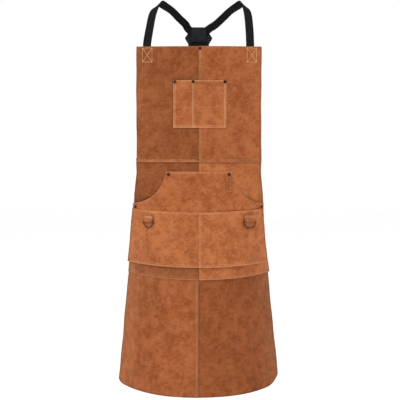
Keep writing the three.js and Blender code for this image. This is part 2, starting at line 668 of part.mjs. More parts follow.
/** Rectangular ring of round wire standing on edge at the waist. */
function sideRing(side) {
  const { front, rear } = sideRingBars();
  const halfLength = (SIDE_RING_LENGTH - SIDE_RING_WIRE) / 2;
  const halfHeight = (SIDE_RING_HEIGHT - SIDE_RING_WIRE) / 2;
  const corner = 4;
  const points = [];
  const centres = [[1, 1], [-1, 1], [-1, -1], [1, -1]];
  centres.forEach(([sx, sy], quarter) => {
    for (let i = 0; i <= 3; i += 1) {
      const turn = (Math.PI / 2) * (quarter + i / 3);
      points.push(new THREE.Vector3(
        sx * (halfLength - corner) + corner * Math.cos(turn),
        sy * (halfHeight - corner) + corner * Math.sin(turn), 0));
    }
  });
  const geometry = wireRing(points, SIDE_RING_WIRE);
  const along = new THREE.Vector3(side * (rear.x - front.x), rear.y - front.y, 0).normalize();
  const up = new THREE.Vector3(0, 0, 1);
  const out = new THREE.Vector3().crossVectors(along, up);
  const matrix = new THREE.Matrix4().makeBasis(along, up, out);
  matrix.setPosition((side * (front.x + rear.x)) / 2, (front.y + rear.y) / 2, heightAt(WAIST_STRAP_DROP));
  return shell(solid(geometry.applyMatrix4(matrix)));
}

/** Half a turn of strap round a bar that runs along Z: path points with outward normals. */
function turnRound(bar, radius, from, to, z, side) {
  const points = [];
  const steps = 6;
  for (let i = 0; i <= steps; i += 1) {
    const turn = from + ((to - from) * i) / steps;
    const nx = Math.cos(turn);
    const ny = Math.sin(turn);
    points.push([side * (bar.x + radius * nx), bar.y + radius * ny, z, side * nx, ny, 0]);
  }
  return points;
}

/** Leather-backed webbing tab that holds the side ring to the panel's back. */
function sideTab(side) {
  const { front } = sideRingBars();
  const layer = side < 0 ? layers.waistLeft : layers.waistRight;
  const z = heightAt(WAIST_STRAP_DROP);
  const under = layer * LAYER - SIDE_TAB_GAP - WEBBING / 2;
  const half = halfWidth(WAIST_STRAP_DROP);
  const radius = SIDE_RING_WIRE / 2 + LOOP_GAP + WEBBING / 2;
  const sewn = [38, 27, 16, 8].map((inset) => {
    const x = side * (half - inset);
    const outward = normalAt(x, WAIST_STRAP_DROP);
    const point = pointAt(x, WAIST_STRAP_DROP, 0).addScaledVector(outward, under);
    return [...point.toArray(), ...outward.toArray()];
  });
  const loop = turnRound(front, radius, 0, Math.PI, z, side);
  const tail = [[side * (front.x - radius - 1.5), front.y - 5, z, -side, 0.1, 0]];
  return shell(strap([...sewn, ...loop, ...tail], SIDE_TAB_STEPS));
}

const buckleEnd = BUCKLE_BODY / 2 + BUCKLE_FRAME;
const buckleGap = FIT_GAP;

const TAIL_POINTS = [96, 72, 50]; // set points of the two lying plies, from the tail's end to the buckle

/** Centre of the strap bar on one half of the buckle. */
function buckleBar(side) {
  return { x: buckleEnd - BUCKLE_BAR / 2 + (side > 0 ? buckleGap : 0), y: BACK_DEPTH };
}

/** Strap from the side ring round the back to the buckle, with its free tail lying on itself. */
function waistStrap(side) {
  const z = heightAt(WAIST_STRAP_DROP);
  const { rear } = sideRingBars();
  const ringRadius = SIDE_RING_WIRE / 2 + LOOP_GAP + WEBBING / 2;
  const bar = buckleBar(side);
  const barRadius = BUCKLE_BAR * Math.SQRT1_2 + LOOP_GAP + WEBBING / 2;
  const edge = waistSide();
  const lift = BACK_LAYER + 0.3;
  const inner = BACK_DEPTH - lift / 2;
  const atRing = turnRound(rear, ringRadius, -Math.PI, 0, z, side);
  const start = [[side * (rear.x - ringRadius + 0.4), rear.y + 9, z, -side, 0, 0]];
  const bendStart = STRAP_TAIL + 8;
  const bend = [[0.85, 0.4, 0.84, 0.53], [0.61, 0.68, 0.6, 0.8], [0.29, 0.894, 0.35, 0.94]].map(
    ([outward, back, nx, ny]) => [
      bendStart + (edge.x - bendStart) * outward, edge.y + (inner - edge.y) * back, nx, ny,
    ],
  );
  const straight = [bendStart, ...TAIL_POINTS].map((x) => [x, inner, 0, 1]);
  const lap = [
    [edge.x + 1, edge.y - 16, 0.99, 0.08],
    [edge.x, edge.y, 0.985, 0.15],
    [edge.x - 2.5, edge.y + 15, 0.98, 0.2],
  ];
  const around = [...lap, ...bend, ...straight].map(([x, y, nx, ny]) => [side * x, y, z, side * nx, ny, 0]);
  const atBar = turnRound(bar, barRadius, -Math.PI / 2, -Math.PI * 1.5, z, side)
    .map(([x, y, height, nx, ny]) => [x, y, height, -nx, -ny, 0]);
  const tail = [...TAIL_POINTS].reverse().map((x) => [side * x, inner + lift, z, 0, -1, 0]);
  tail.push([side * STRAP_TAIL, inner + lift, z, 0, -1, 0]);
  return shell(strap([...start, ...atRing, ...around, ...atBar, ...tail], WAIST_STRAP_STEPS));
}

// ---- Cross-back pad --------------------------------------------------------------------------------

const PAD_THICKNESS = 1.5;

/** Flat patch in the XZ plane, extruded toward +Y from its front face. */
function patch(points, frontFace) {
  const shape = new THREE.Shape(points.map(([x, z]) => new THREE.Vector2(x, z - CROSSING_DROP)));
  const geometry = new THREE.ExtrudeGeometry(shape, { depth: PAD_THICKNESS, bevelEnabled: false });
  return shell(solid(geometry.rotateX(Math.PI / 2).translate(0, frontFace + PAD_THICKNESS, 0)));
}

function padOutline() {
  const half = [[20, 36], [31, 22], [45, 1], [42, -6], [34, -18], [33, -44], [28, -50]];
  return [...half, ...half.map(([x, z]) => [-x, z]).reverse()];
}

function padPatchOutline() {
  const half = [[19, 31], [24, 26], [25, -8], [21, -13]];
  return [...half, ...half.map(([x, z]) => [-x, z]).reverse()];
}

// ---- Buckle ------------------------------------------------------------------------------------------

const PLUG_TONGUE = 8;
const PRONG_WIDTH = 4.2;
const PRONG_THICKNESS = 5;
const CHANNEL = 6;
const STRAP_ROOM = 1.5; // room beside the strap in the buckle's frame
const buckleY = BACK_DEPTH;
const buckleZ = heightAt(WAIST_STRAP_DROP);

/** Frame that holds the strap bar, on the side given; its arms reach back into the body by root. */
function strapFrame(side, start, root) {
  const wall = BUCKLE_RIM - STRAP_ROOM;
  const middle = start + side * ((BUCKLE_FRAME - root) / 2);
  const reach = BUCKLE_HEIGHT / 2 - wall / 2;
  const end = start + side * (BUCKLE_FRAME - BUCKLE_BAR / 2);
  const bars = [
    block(BUCKLE_FRAME + root, BUCKLE_BAR, wall, middle, 0, reach),
    block(BUCKLE_FRAME + root, BUCKLE_BAR, wall, middle, 0, -reach),
    block(BUCKLE_BAR, BUCKLE_BAR, BUCKLE_HEIGHT, end, 0, 0),
  ];
  return bars.map(solid).reduce((a, b) => a.add(b));
}

function buckleSocket() {
  const half = BUCKLE_BODY / 2;
  let body = solid(block(BUCKLE_BODY, BUCKLE_THICKNESS, BUCKLE_HEIGHT, 0, 0, 0));
  body = body.add(strapFrame(-1, -half, 1));
  const mouth = block(BUCKLE_BODY, CHANNEL, BUCKLE_HEIGHT - 8, 4, 0, 0);
  const windows = block(12, CHANNEL, BUCKLE_HEIGHT + 4, -2, 0, 0);
  body = body.subtract(solid(mouth)).subtract(solid(windows));
  return shell(body.translate(0, buckleY, buckleZ));
}

function bucklePlug() {
  const start = BUCKLE_BODY / 2 + buckleGap;
  let body = solid(block(5, BUCKLE_THICKNESS, BUCKLE_HEIGHT - 2, start + 2.5, 0, 0));
  body = body.add(strapFrame(1, start, 0));
  body = body.add(solid(block(21, PRONG_THICKNESS - 1, PLUG_TONGUE, start - 10, 0, 0)));
  return shell(body.translate(0, buckleY, buckleZ));
}

/** One springy prong, with the head that catches in the socket's side window. */
function buckleProng(sign) {
  const start = BUCKLE_BODY / 2 - 0.1;
  const reach = BUCKLE_HEIGHT / 2 - 4 - PRONG_WIDTH / 2 - 0.6;
  const arm = solid(block(21, PRONG_THICKNESS, PRONG_WIDTH, start - 10.5, 0, sign * reach));
  const headTop = BUCKLE_HEIGHT / 2 + 0.4;
  const headBottom = reach - PRONG_WIDTH / 2;
  const head = block(9, PRONG_THICKNESS, headTop - headBottom, -1.6, 0, (sign * (headTop + headBottom)) / 2);
  return shell(arm.add(solid(head)).translate(0, buckleY, buckleZ));
}

/** Flat loop that holds the tail down on the waist strap. */
function keeper(side) {
  const wall = 1.4;
  const inside = { y: 2 * WEBBING + 2 * FIT_GAP + 0.9, z: WEBBING_WIDTH + 1 };
  const outer = solid(block(KEEPER_LENGTH, inside.y + 2 * wall, inside.z + 2 * wall, 0, 0, 0));
  const hole = solid(block(KEEPER_LENGTH + 4, inside.y, inside.z, 0, 0, 0));
  return shell(outer.subtract(hole).translate(side * KEEPER_PLACE, buckleY, buckleZ));
}

// ---- Assembly ------------------------------------------------------------------------------------------

const apron = new THREE.Group();
const drilled = (...names) => names.map((name) => drills[name]);
const lap = CENTRE_LAP;

/** Left and right half of each band, then the pockets. */
const sheets = [
  ['bib_panel_left', bibOutline(-1, lap), layers.bibLeft, drilled('chest_left', 'chest_middle', 'bib_top')],
  ['bib_panel_right', bibOutline(1, 0), layers.bibRight, drilled('chest_right', 'bib_top')],
  ['waist_panel_right', waistOutline(1, 0), layers.waistRight, drilled('hand_right', 'side_right')],
  ['skirt_panel_left', skirtOutline(-1, 0, LEFT_HEM_RADIUS), layers.skirtLeft, []],
  ['chest_pocket', chestPocketOutline(), layers.chestPocket,
    drilled('chest_left', 'chest_middle', 'chest_right')],
  ['hand_pocket', handPocketOutline(), layers.handPocket,
    drilled('hand_left', 'hand_right', 'side_left', 'side_right')],
  ['tool_slot', toolSlotOutline(), layers.toolSlot, []],
  ['lower_pocket_left', lowerPocketOutline(-1, lap, 0), layers.lowerPocketLeft, []],
  ['lower_pocket_right', lowerPocketOutline(1, 0, LOWER_POCKET_INSET), layers.lowerPocketRight, []],
];
const darkSheets = [
  ['waist_panel_left', waistOutline(-1, lap), layers.waistLeft, drilled('hand_left', 'side_left')],
  ['skirt_panel_right', skirtOutline(1, lap, RIGHT_HEM_RADIUS), layers.skirtRight, []],
];
for (const sheet of sheets) {
  apron.add(leather(...sheet, suede()));
}
for (const sheet of darkSheets) {
  apron.add(leather(...sheet, suedeDark()));
}

for (const rivet of rivets) {
  apron.add(...rivetMeshes(rivet));
}

for (const [side, label] of [[-1, 'left'], [1, 'right']]) {
  const dee = shell(solid(wireRing(deeLine(), RING_WIRE).applyMatrix4(hangingPlace(side))));
  apron.add(
    mesh(`ring_tab_${label}`, ringTab(side), suede()),
    mesh(`tool_ring_${label}`, dee, darkMetal()),
    mesh(`side_tab_${label}`, sideTab(side), webbing()),
    mesh(`side_ring_${label}`, sideRing(side), darkMetal()),
    mesh(`shoulder_strap_${label}`, shoulderStrap(side), webbing()),
    mesh(`waist_strap_${label}`, waistStrap(side), webbing()),
    mesh(`strap_keeper_${label}`, keeper(side), plastic()),
  );
}

const padBack = BACK_DEPTH + BACK_LAYER + WEBBING / 2 + LOOP_GAP + 2 * FIT_GAP;
const patchFront = BACK_DEPTH - WEBBING / 2 - FIT_GAP - PAD_THICKNESS;
apron.add(
  mesh('back_pad', patch(padOutline(), padBack), padMaterial()),
  mesh('back_pad_patch', patch(padPatchOutline(), patchFront), padMaterial()),
  mesh('buckle_socket', buckleSocket(), plastic()),
  mesh('buckle_plug', bucklePlug(), plastic()),
  mesh('buckle_prong_upper', buckleProng(1), plastic()),
  mesh('buckle_prong_lower', buckleProng(-1), plastic()),
);

export default apron;
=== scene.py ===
"""Suede welding apron, shown as it hangs when worn. Metres, +Z up, the front faces -Y."""

import json
import math

import bmesh
import bpy
import numpy as np
from mathutils import Matrix, Vector


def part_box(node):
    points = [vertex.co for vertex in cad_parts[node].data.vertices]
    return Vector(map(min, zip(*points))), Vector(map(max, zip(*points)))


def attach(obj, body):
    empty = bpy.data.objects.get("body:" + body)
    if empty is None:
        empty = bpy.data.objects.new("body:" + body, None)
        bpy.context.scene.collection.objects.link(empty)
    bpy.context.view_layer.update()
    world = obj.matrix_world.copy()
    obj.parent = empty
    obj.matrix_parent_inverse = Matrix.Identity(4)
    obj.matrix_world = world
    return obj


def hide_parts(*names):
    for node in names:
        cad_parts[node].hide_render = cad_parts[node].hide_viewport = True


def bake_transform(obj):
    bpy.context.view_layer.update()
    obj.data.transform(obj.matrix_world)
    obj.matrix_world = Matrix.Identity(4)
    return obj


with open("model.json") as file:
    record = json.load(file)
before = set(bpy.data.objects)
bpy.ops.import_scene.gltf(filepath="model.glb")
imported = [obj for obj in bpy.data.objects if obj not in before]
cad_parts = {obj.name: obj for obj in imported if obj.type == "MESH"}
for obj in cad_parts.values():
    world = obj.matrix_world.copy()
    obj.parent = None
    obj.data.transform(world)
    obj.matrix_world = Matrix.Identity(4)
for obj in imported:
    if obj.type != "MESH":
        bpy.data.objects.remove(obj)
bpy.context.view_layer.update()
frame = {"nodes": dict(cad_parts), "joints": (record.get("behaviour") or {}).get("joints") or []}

bl_info = {
    "name": "Welding apron",
    "version": (1, 0, 0),
    "blender": (4, 5, 0),
    "location": "View3D > Sidebar > Apron",
    "description": "Builds a suede welding apron with pockets, tool rings and cross-back straps",
    "category": "Add Mesh",
}

MM = 0.001
BODY = "apron"

# ---- Sizes that follow the frame -----------------------------------------------------------------

BIB_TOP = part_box("bib_panel_left")[1].z
APRON_LENGTH = BIB_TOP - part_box("skirt_panel_left")[0].z
WAIST_LINE = (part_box("strap_keeper_left")[0].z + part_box("strap_keeper_left")[1].z) / 2
CHEST_LOW, CHEST_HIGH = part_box("chest_pocket")

# ---- Sizes of the leather's shape ----------------------------------------------------------------

FLARE_START = 381 * MM
SIDE_FLARE = 0.102
HEM_RISE = 18 * MM
HEM_POWER = 3
LEFT_HEM_RADIUS = 18 * MM
RIGHT_HEM_RADIUS = 42 * MM
BELLY_LEAN = 12 * MM
CHEST_DEPTH = 118 * MM
TOP_WRAP = 15 * MM
HIP_WRAP = 150 * MM
WRAP_START = 200 * MM
WRAP_END = 800 * MM
SKIN_GAP = 0.5 * MM

BIB_SEAM = 349 * MM
BIB_INSET_LEFT = 3 * MM
BIB_INSET_RIGHT = 1 * MM
SKIRT_SEAM = 706 * MM
SKIRT_SEAM_RISE = 10 * MM
SEAM_LAP = 12 * MM
CENTRE_LAP = 9 * MM

CHEST_DIVIDER = 60 * MM
HAND_TOP = 377 * MM
HAND_LEFT = -98 * MM
HAND_RIGHT = 100 * MM
HAND_SIDE = 476 * MM
HAND_SIDE_X = 206 * MM
HAND_BOTTOM = 520 * MM
LOWER_TOP = 500 * MM
LOWER_TOP_RISE = 8 * MM
LOWER_HEIGHT = 168 * MM
LOWER_BOTTOM_RISE = 6 * MM
LOWER_INSET = 9 * MM
RIGHT_HOLLOW = 4 * MM

FIT_GAP = 0.3 * MM
LOOP_GAP = 0.5 * MM
RING_TAB_WIDTH = 34 * MM
TAB_FACE = 0.6 * MM
TAB_ROWS = (16.5 * MM, 13 * MM)
WEBBING_WIDTH = 25 * MM
WEBBING = 1.6 * MM
BACK_DEPTH = 134 * MM
BACK_LAYER = WEBBING + FIT_GAP
CROSSING_DROP = 103 * MM
STRAP_INSET = 35 * MM
STRAP_BOX_WIDTH = 29 * MM
STRAP_BOX_TOP = 5 * MM
STRAP_BOX_BOTTOM = 47 * MM
STRAP_BOX_SHIFT = {-1: 1 * MM, 1: 5 * MM}
STRAP_SEAM = 48 * MM
SHOULDER_SPACING = 256 * MM
SHOULDER_SHIFT = 8 * MM
SHOULDER_SLOPE = 6

# Order of the plies, outward from the wearer.
LAYERS = {
    "skirt_right": -2, "skirt_left": -1, "waist_left": 0, "waist_right": 1, "bib_left": 2,
    "bib_right": 3, "chest_pocket": 4, "hand_pocket": 2, "tool_slot": 3,
    "lower_pocket_left": 3, "lower_pocket_right": 4,
}


class ApronSizes(bpy.types.PropertyGroup):
    """Sizes that a maker would change."""

    bib_half_width: bpy.props.FloatProperty(
        name="Bib half width", description="Centre to side edge of the bib", default=190 * MM, unit="LENGTH")
    leather: bpy.props.FloatProperty(
        name="Leather", description="Thickness of the suede", default=1.4 * MM, unit="LENGTH")
    grid: bpy.props.FloatProperty(
        name="Grid", description="Spacing of the leather's mesh", default=2.7 * MM, unit="LENGTH")
    stitch: bpy.props.FloatProperty(
        name="Stitch", description="Length of one stitch with its hole", default=3.4 * MM, unit="LENGTH")
    thread: bpy.props.FloatProperty(
        name="Thread", description="Thickness of the sewing thread", default=1.1 * MM, unit="LENGTH")


class ApronColours(bpy.types.PropertyGroup):
    """Colours of the leather and the thread."""

    suede: bpy.props.FloatVectorProperty(
        name="Suede", description="Mean colour of the hide", subtype="COLOR", size=3,
        default=(0.335, 0.100, 0.032))
    # The cut-edge colour is also the colour of the painted shade along the centre lap and in the hand
    # pocket's mouths.
    cut_edge: bpy.props.FloatVectorProperty(
        name="Cut edge", description="Colour of the raw side edges", subtype="COLOR", size=3,
        default=(0.082, 0.038, 0.017))
    # The rubbed colour is also the colour of the painted light on the waist band below the lower pockets.
    rubbed: bpy.props.FloatVectorProperty(
        name="Rubbed", description="Colour of seams and cut edges that are rubbed pale",
        subtype="COLOR", size=3, default=(0.56, 0.23, 0.095))
    thread: bpy.props.FloatVectorProperty(
        name="Thread", description="Colour of the sewing thread", subtype="COLOR", size=3,
        default=(0.80, 0.52, 0.26))
    worn_thread: bpy.props.FloatVectorProperty(
        name="Worn thread", description="Colour of the thread where it is rubbed into the suede",
        subtype="COLOR", size=3, default=(0.52, 0.26, 0.11))
    webbing: bpy.props.FloatVectorProperty(
        name="Webbing", description="Colour of the straps", subtype="COLOR", size=3,
        default=(0.0065, 0.0065, 0.006))


def sizes():
    return bpy.context.scene.apron_sizes


def colours():
    return bpy.context.scene.apron_colours


# ---- The surface that the leather lies on --------------------------------------------------------


def smooth_step(t):
    t = np.clip(t, 0, 1)
    return t * t * (3 - 2 * t)


def half_width(drop):
    return sizes().bib_half_width + SIDE_FLARE * np.maximum(0, drop - FLARE_START)


def ripple(x, drop):
    """Slow waves and fine puckers of the hide, the same through every layer."""
    slow = 0.9 * MM * np.sin(21 * x + 9 * drop + 0.6) * np.sin(7.5 * drop + 1.1)
    middle = 0.55 * MM * np.sin(47 * x - 13 * drop + 2.2) * np.sin(31 * drop + 6 * x)
    fine = 0.16 * MM * np.sin(118 * x + 57 * drop) * np.sin(97 * drop - 33 * x + 0.9)
    return slow + middle + fine


def surface(x, drop, lift):
    """Points at x and drop (below the bib top), moved out from the wearer by lift."""
    x, drop, lift = np.broadcast_arrays(*(np.asarray(value, float) for value in (x, drop, lift)))
    half = half_width(drop)
    wrap = TOP_WRAP + (HIP_WRAP - TOP_WRAP) * smooth_step((drop - WRAP_START) / (WRAP_END - WRAP_START))
    radius = (half * half + wrap * wrap) / (2 * wrap)
    angle = np.arcsin(np.clip(x / radius, -1, 1))
    out = radius + lift + ripple(x, drop)
    front = -CHEST_DEPTH - BELLY_LEAN * drop / APRON_LENGTH
    return np.stack([out * np.sin(angle), front + radius - out * np.cos(angle), BIB_TOP - drop], axis=-1)


def surface_normal(x, drop):
    step = 1 * MM
    across = surface(x + step, drop, 0) - surface(x - step, drop, 0)
    down = surface(x, drop + step, 0) - surface(x, drop - step, 0)
    normal = np.cross(down, across)
    return normal / np.linalg.norm(normal, axis=-1, keepdims=True)


def layer_face(layer):
    """Lift of a layer's outer face."""
    return LAYERS[layer] * (sizes().leather + SKIN_GAP) + sizes().leather


# ---- Making objects ------------------------------------------------------------------------------


def add_object(name, vertices, faces, materials, smooth_angle=40):
    mesh = bpy.data.meshes.new(name)
    mesh.from_pydata([tuple(v) for v in vertices], [], faces)
    for material in materials:
        mesh.materials.append(material)
    mesh.validate()
    mesh.shade_smooth()
    mesh.set_sharp_from_angle(angle=math.radians(smooth_angle))
    made = bpy.data.objects.new(name, mesh)
    bpy.context.scene.collection.objects.link(made)
    return made


def place(made, slot, *nodes, body=BODY):
    """Ride on a body, or on none for a piece that bends, and stand for plain solids. The slot is not used."""
    if body is not None:
        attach(made, body)
    if nodes:
        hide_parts(*nodes)
    return made


# ---- Materials -----------------------------------------------------------------------------------


WARP_STEP = 1.5 * MM
WEFT_STEP = 1.1 * MM
PAD_BLACK = (0.006, 0.007, 0.009, 1)
PAD_DUST = (0.013, 0.015, 0.019, 1)
METAL_DARK = (0.016, 0.0070, 0.004)
METAL_RUBBED = (0.080, 0.034, 0.016)
PLASTIC_BLACK = (0.006, 0.006, 0.0065, 1)
PLASTIC_RUBBED = (0.014, 0.014, 0.015, 1)


class Nodes:
    """Short helper for building a material's node tree."""

    def __init__(self, name):
        self.material = bpy.data.materials.new(name)
        self.material.use_nodes = True
        self.tree = self.material.node_tree
        self.shader = self.tree.nodes["Principled BSDF"]

    def add(self, kind, inputs=None, **settings):
        node = self.tree.nodes.new(kind)
        for key, value in settings.items():
            setattr(node, key, value)
        for key, value in (inputs or {}).items():
            if isinstance(value, bpy.types.NodeSocket):
                self.tree.links.new(value, node.inputs[key])
            else:
                node.inputs[key].default_value = value
        return node

    def noise(self, where, scale, detail=3, rough=0.55, stretch=(1, 1, 1), offset=(0, 0, 0)):
        mapping = self.add("ShaderNodeMapping", {"Vector": where, "Scale": stretch, "Location": offset})
        made = self.add("ShaderNodeTexNoise", {
            "Vector": mapping.outputs[0], "Scale": scale, "Detail": detail, "Roughness": rough})
        return made.outputs["Fac"]

    def ramp(self, factor, low, high, low_value=0.0, high_value=1.0):
        made = self.add("ShaderNodeMapRange", {
            "Value": factor, "From Min": low, "From Max": high, "To Min": low_value, "To Max": high_value})
        return made.outputs[0]

    def mix(self, factor, a, b, blend="MIX"):
        made = self.add("ShaderNodeMix", data_type="RGBA", blend_type=blend)
        for socket, value in ((made.inputs[0], factor), (made.inputs[6], a), (made.inputs[7], b)):
            if isinstance(value, bpy.types.NodeSocket):
                self.tree.links.new(value, socket)
            else:
                socket.default_value = value
        return made.outputs[2]

    def math(self, operation, a, b):
        made = self.add("ShaderNodeMath", operation=operation)
        for socket, value in ((made.inputs[0], a), (made.inputs[1], b)):
            if isinstance(value, bpy.types.NodeSocket):
                self.tree.links.new(value, socket)
            else:
                socket.default_value = value
        return made.outputs[0]

    def bump(self, height, distance, strength=1.0, under=None):
        inputs = {"Height": height, "Distance": distance, "Strength": strength}
        if under is not None:
            inputs["Normal"] = under
        return self.add("ShaderNodeBump", inputs).outputs[0]

    def link(self, socket, name):
        self.tree.links.new(socket, self.shader.inputs[name])

    def set(self, **values):
        for key, value in values.items():
            self.shader.inputs[key.replace("_", " ")].default_value = value


def tint(colour, gain, warm=0.0):
    """A colour made lighter or darker by gain, and a little redder by warm."""
    r, g, b = colour
    return (r * gain * (1 + warm), g * gain, b * gain * (1 - warm), 1.0)


def suede_material(name, gain, offset, warm=0.0):
    """Napped split hide: cloudy tone, brushed streaks, short fibres, rubbed seams, dark side edges, painted
    shade at the centre lap and the hand pocket's mouths, and painted light on the waist band below the lower
    pockets.
    """
    kit = Nodes(name)
    where = kit.add("ShaderNodeTexCoord").outputs["Object"]
    shift = (offset, 1.7 * offset, 0.6 * offset)
    base = colours().suede
    clouds = kit.noise(where, 7, detail=4, rough=0.6, offset=shift)
    patches = kit.noise(where, 30, detail=6, rough=0.68, offset=shift)
    blotches = kit.noise(where, 75, detail=4, rough=0.65, stretch=(0.9, 0.9, 1.1), offset=shift)
    brushed = kit.noise(where, 130, detail=4, rough=0.7, stretch=(0.8, 0.8, 1.25), offset=shift)
    nap = kit.noise(where, 900, detail=2, rough=0.7)
    pale = tint(base, 1.50 * gain, warm - 0.16)
    deep = tint(base, 0.50 * gain, warm + 0.22)
    dusk, dawn = tint(base, 0.80 * gain, warm + 0.04), tint(base, 1.16 * gain, warm)
    tone = kit.mix(kit.ramp(clouds, 0.34, 0.66), dusk, dawn)
    tone = kit.mix(kit.ramp(patches, 0.48, 0.68, 0.0, 0.85), tone, deep)
    tone = kit.mix(kit.ramp(patches, 0.50, 0.32, 0.0, 0.65), tone, pale)
    tone = kit.mix(kit.ramp(blotches, 0.50, 0.68, 0.0, 0.65), tone, deep)
    tone = kit.mix(kit.ramp(brushed, 0.50, 0.68, 0.0, 0.7), tone, pale)
    tone = kit.mix(kit.ramp(nap, 0.25, 0.75, 0.0, 0.28), tone, tint(base, 0.55 * gain, warm))
    edge = kit.add("ShaderNodeAttribute", attribute_name="edge").outputs["Fac"]
    seam = kit.add("ShaderNodeAttribute", attribute_name="seam").outputs["Fac"]
    # The seam attribute lightens the hide towards the rubbed colour: rubbed seams and cuts, and painted light
    # on the waist band below the lower pockets.
    rubbed = kit.math("MULTIPLY", seam, kit.ramp(blotches, 0.3, 0.6, 0.8, 0.45))
    tone = kit.mix(rubbed, tone, (*colours().rubbed, 1.0))
    # The edge attribute darkens the hide towards the cut-edge colour: the side and hem cuts, and painted
    # shade at the centre lap and the hand pocket's mouths.
    wear_and_shade = kit.math("MULTIPLY", edge, kit.ramp(patches, 0.25, 0.7, 0.5, 0.9))
    tone = kit.mix(wear_and_shade, tone, (*colours().cut_edge, 1.0))
    kit.link(tone, "Base Color")
    kit.link(kit.ramp(patches, 0.3, 0.7, 0.86, 1.0), "Roughness")
    coarse = kit.bump(patches, 2.2 * MM, 0.6)
    hair = kit.bump(kit.noise(where, 420, detail=3, rough=0.75), 0.4 * MM, 0.6, under=coarse)
    kit.link(kit.bump(nap, 0.3 * MM, 0.7, under=hair), "Normal")
    kit.set(Sheen_Weight=0.12, Sheen_Roughness=0.5, Sheen_Tint=(0.9, 0.5, 0.3, 1.0), Specular_IOR_Level=0.15)
    return kit.material


def edge_material(name):
    """Cut edge of the hide: dark, fibrous and dry."""
    kit = Nodes(name)
    where = kit.add("ShaderNodeTexCoord").outputs["Object"]
    fibres = kit.noise(where, 700, detail=3, rough=0.7)
    base = colours().cut_edge
    kit.link(kit.mix(kit.ramp(fibres, 0.3, 0.7), tint(base, 0.7), tint(base, 1.7)), "Base Color")
    kit.link(kit.bump(fibres, 0.3 * MM), "Normal")
    kit.set(Roughness=0.95, Specular_IOR_Level=0.2)
    return kit.material


def thread_material(name, colour, gain=1.0):
    """Twisted sewing thread."""
    kit = Nodes(name)
    where = kit.add("ShaderNodeTexCoord").outputs["Object"]
    strands = kit.noise(where, 1600, detail=2, rough=0.6)
    tone = kit.mix(kit.ramp(strands, 0.3, 0.7), tint(colour, 0.72 * gain), tint(colour, 1.25 * gain))
    kit.link(tone, "Base Color")
    kit.link(kit.bump(strands, 0.2 * MM), "Normal")
    kit.set(Roughness=0.7, Sheen_Weight=0.15)
    return kit.material


def webbing_material(name):
    """Black woven webbing; the weave follows the strap through its UV map, in metres."""
    kit = Nodes(name)
    where = kit.add("ShaderNodeUVMap", uv_map="weave").outputs[0]
    split = kit.add("ShaderNodeSeparateXYZ", {"Vector": where})
    along, across = split.outputs[0], split.outputs[1]
    warp = kit.math("SINE", kit.math("MULTIPLY", across, 2 * math.pi / WARP_STEP), 0.0)
    weft = kit.math("SINE", kit.math("MULTIPLY", along, 2 * math.pi / WEFT_STEP), 0.0)
    slant = kit.math("ADD", kit.math("MULTIPLY", across, math.pi / WARP_STEP),
                     kit.math("MULTIPLY", along, math.pi / WEFT_STEP))
    twill = kit.math("SINE", slant, 0.0)
    weave = kit.math("ADD", kit.math("MULTIPLY", warp, weft), kit.math("MULTIPLY", twill, 0.8))
    wear_and_shade = kit.noise(kit.add("ShaderNodeTexCoord").outputs["Object"], 55, detail=4)
    base = colours().webbing
    tone = kit.mix(kit.ramp(weave, -1.5, 1.5), tint(base, 0.6), tint(base, 1.9))
    tone = kit.mix(kit.ramp(wear_and_shade, 0.45, 0.75, 0.0, 0.4), tone, tint(base, 2.2))
    kit.link(tone, "Base Color")
    kit.link(kit.bump(weave, 0.25 * MM, 0.8), "Normal")
    kit.set(Roughness=0.88, Specular_IOR_Level=0.08)
    return kit.material


def pad_material(name):
    """Coated black cloth with a fine grain."""
    kit = Nodes(name)
    where = kit.add("ShaderNodeTexCoord").outputs["Object"]
    grain = kit.add("ShaderNodeTexVoronoi", {"Vector": where, "Scale": 700.0}).outputs["Distance"]
    dust = kit.noise(where, 60, detail=4)
    tone = kit.mix(kit.ramp(dust, 0.35, 0.7), PAD_BLACK, PAD_DUST)
    kit.link(tone, "Base Color")
    kit.link(kit.bump(grain, 0.15 * MM), "Normal")
    kit.link(kit.ramp(dust, 0.3, 0.7, 0.45, 0.62), "Roughness")
    kit.set(Specular_IOR_Level=0.12)
    return kit.material


def metal_material(name, gain=1.0):
    """Dark bronzed steel, rubbed bright where it is handled."""
    kit = Nodes(name)
    where = kit.add("ShaderNodeTexCoord").outputs["Object"]
    stain = kit.noise(where, 160, detail=5, rough=0.65)
    scratch = kit.noise(where, 900, detail=2, stretch=(1, 1, 4))
    tone = kit.mix(kit.ramp(stain, 0.35, 0.7), tint(METAL_DARK, gain), tint(METAL_RUBBED, gain))
    kit.link(tone, "Base Color")
    kit.link(kit.ramp(stain, 0.3, 0.7, 0.42, 0.28), "Roughness")
    kit.link(kit.bump(scratch, 0.05 * MM, 0.5), "Normal")
    kit.set(Metallic=1.0)
    return kit.material


def plastic_material(name):
    """Moulded black nylon with a light spark texture."""
    kit = Nodes(name)
    where = kit.add("ShaderNodeTexCoord").outputs["Object"]
    spark = kit.noise(where, 1500, detail=2, rough=0.6)
    rub = kit.noise(where, 90, detail=4)
    tone = kit.mix(kit.ramp(rub, 0.4, 0.75), PLASTIC_BLACK, PLASTIC_RUBBED)
    kit.link(tone, "Base Color")
    kit.link(kit.ramp(rub, 0.3, 0.7, 0.38, 0.55), "Roughness")
    kit.link(kit.bump(spark, 0.08 * MM, 0.6), "Normal")
    return kit.material


MADE_MATERIALS = {}


def shared(name, build, *args):
    if name not in MADE_MATERIALS:
        MADE_MATERIALS[name] = build(name, *args)
    return MADE_MATERIALS[name]


# ---- Leather pieces ------------------------------------------------------------------------------


def spread(count, power=1.0):
    """Shares from 0 to 1, closer together at both ends when power is over 1."""
    t = np.linspace(-1, 1, count)
    return 0.5 + 0.5 * np.sign(t) * (1 - (1 - np.abs(t)) ** power)


EDGE_CROWDING = 1.35


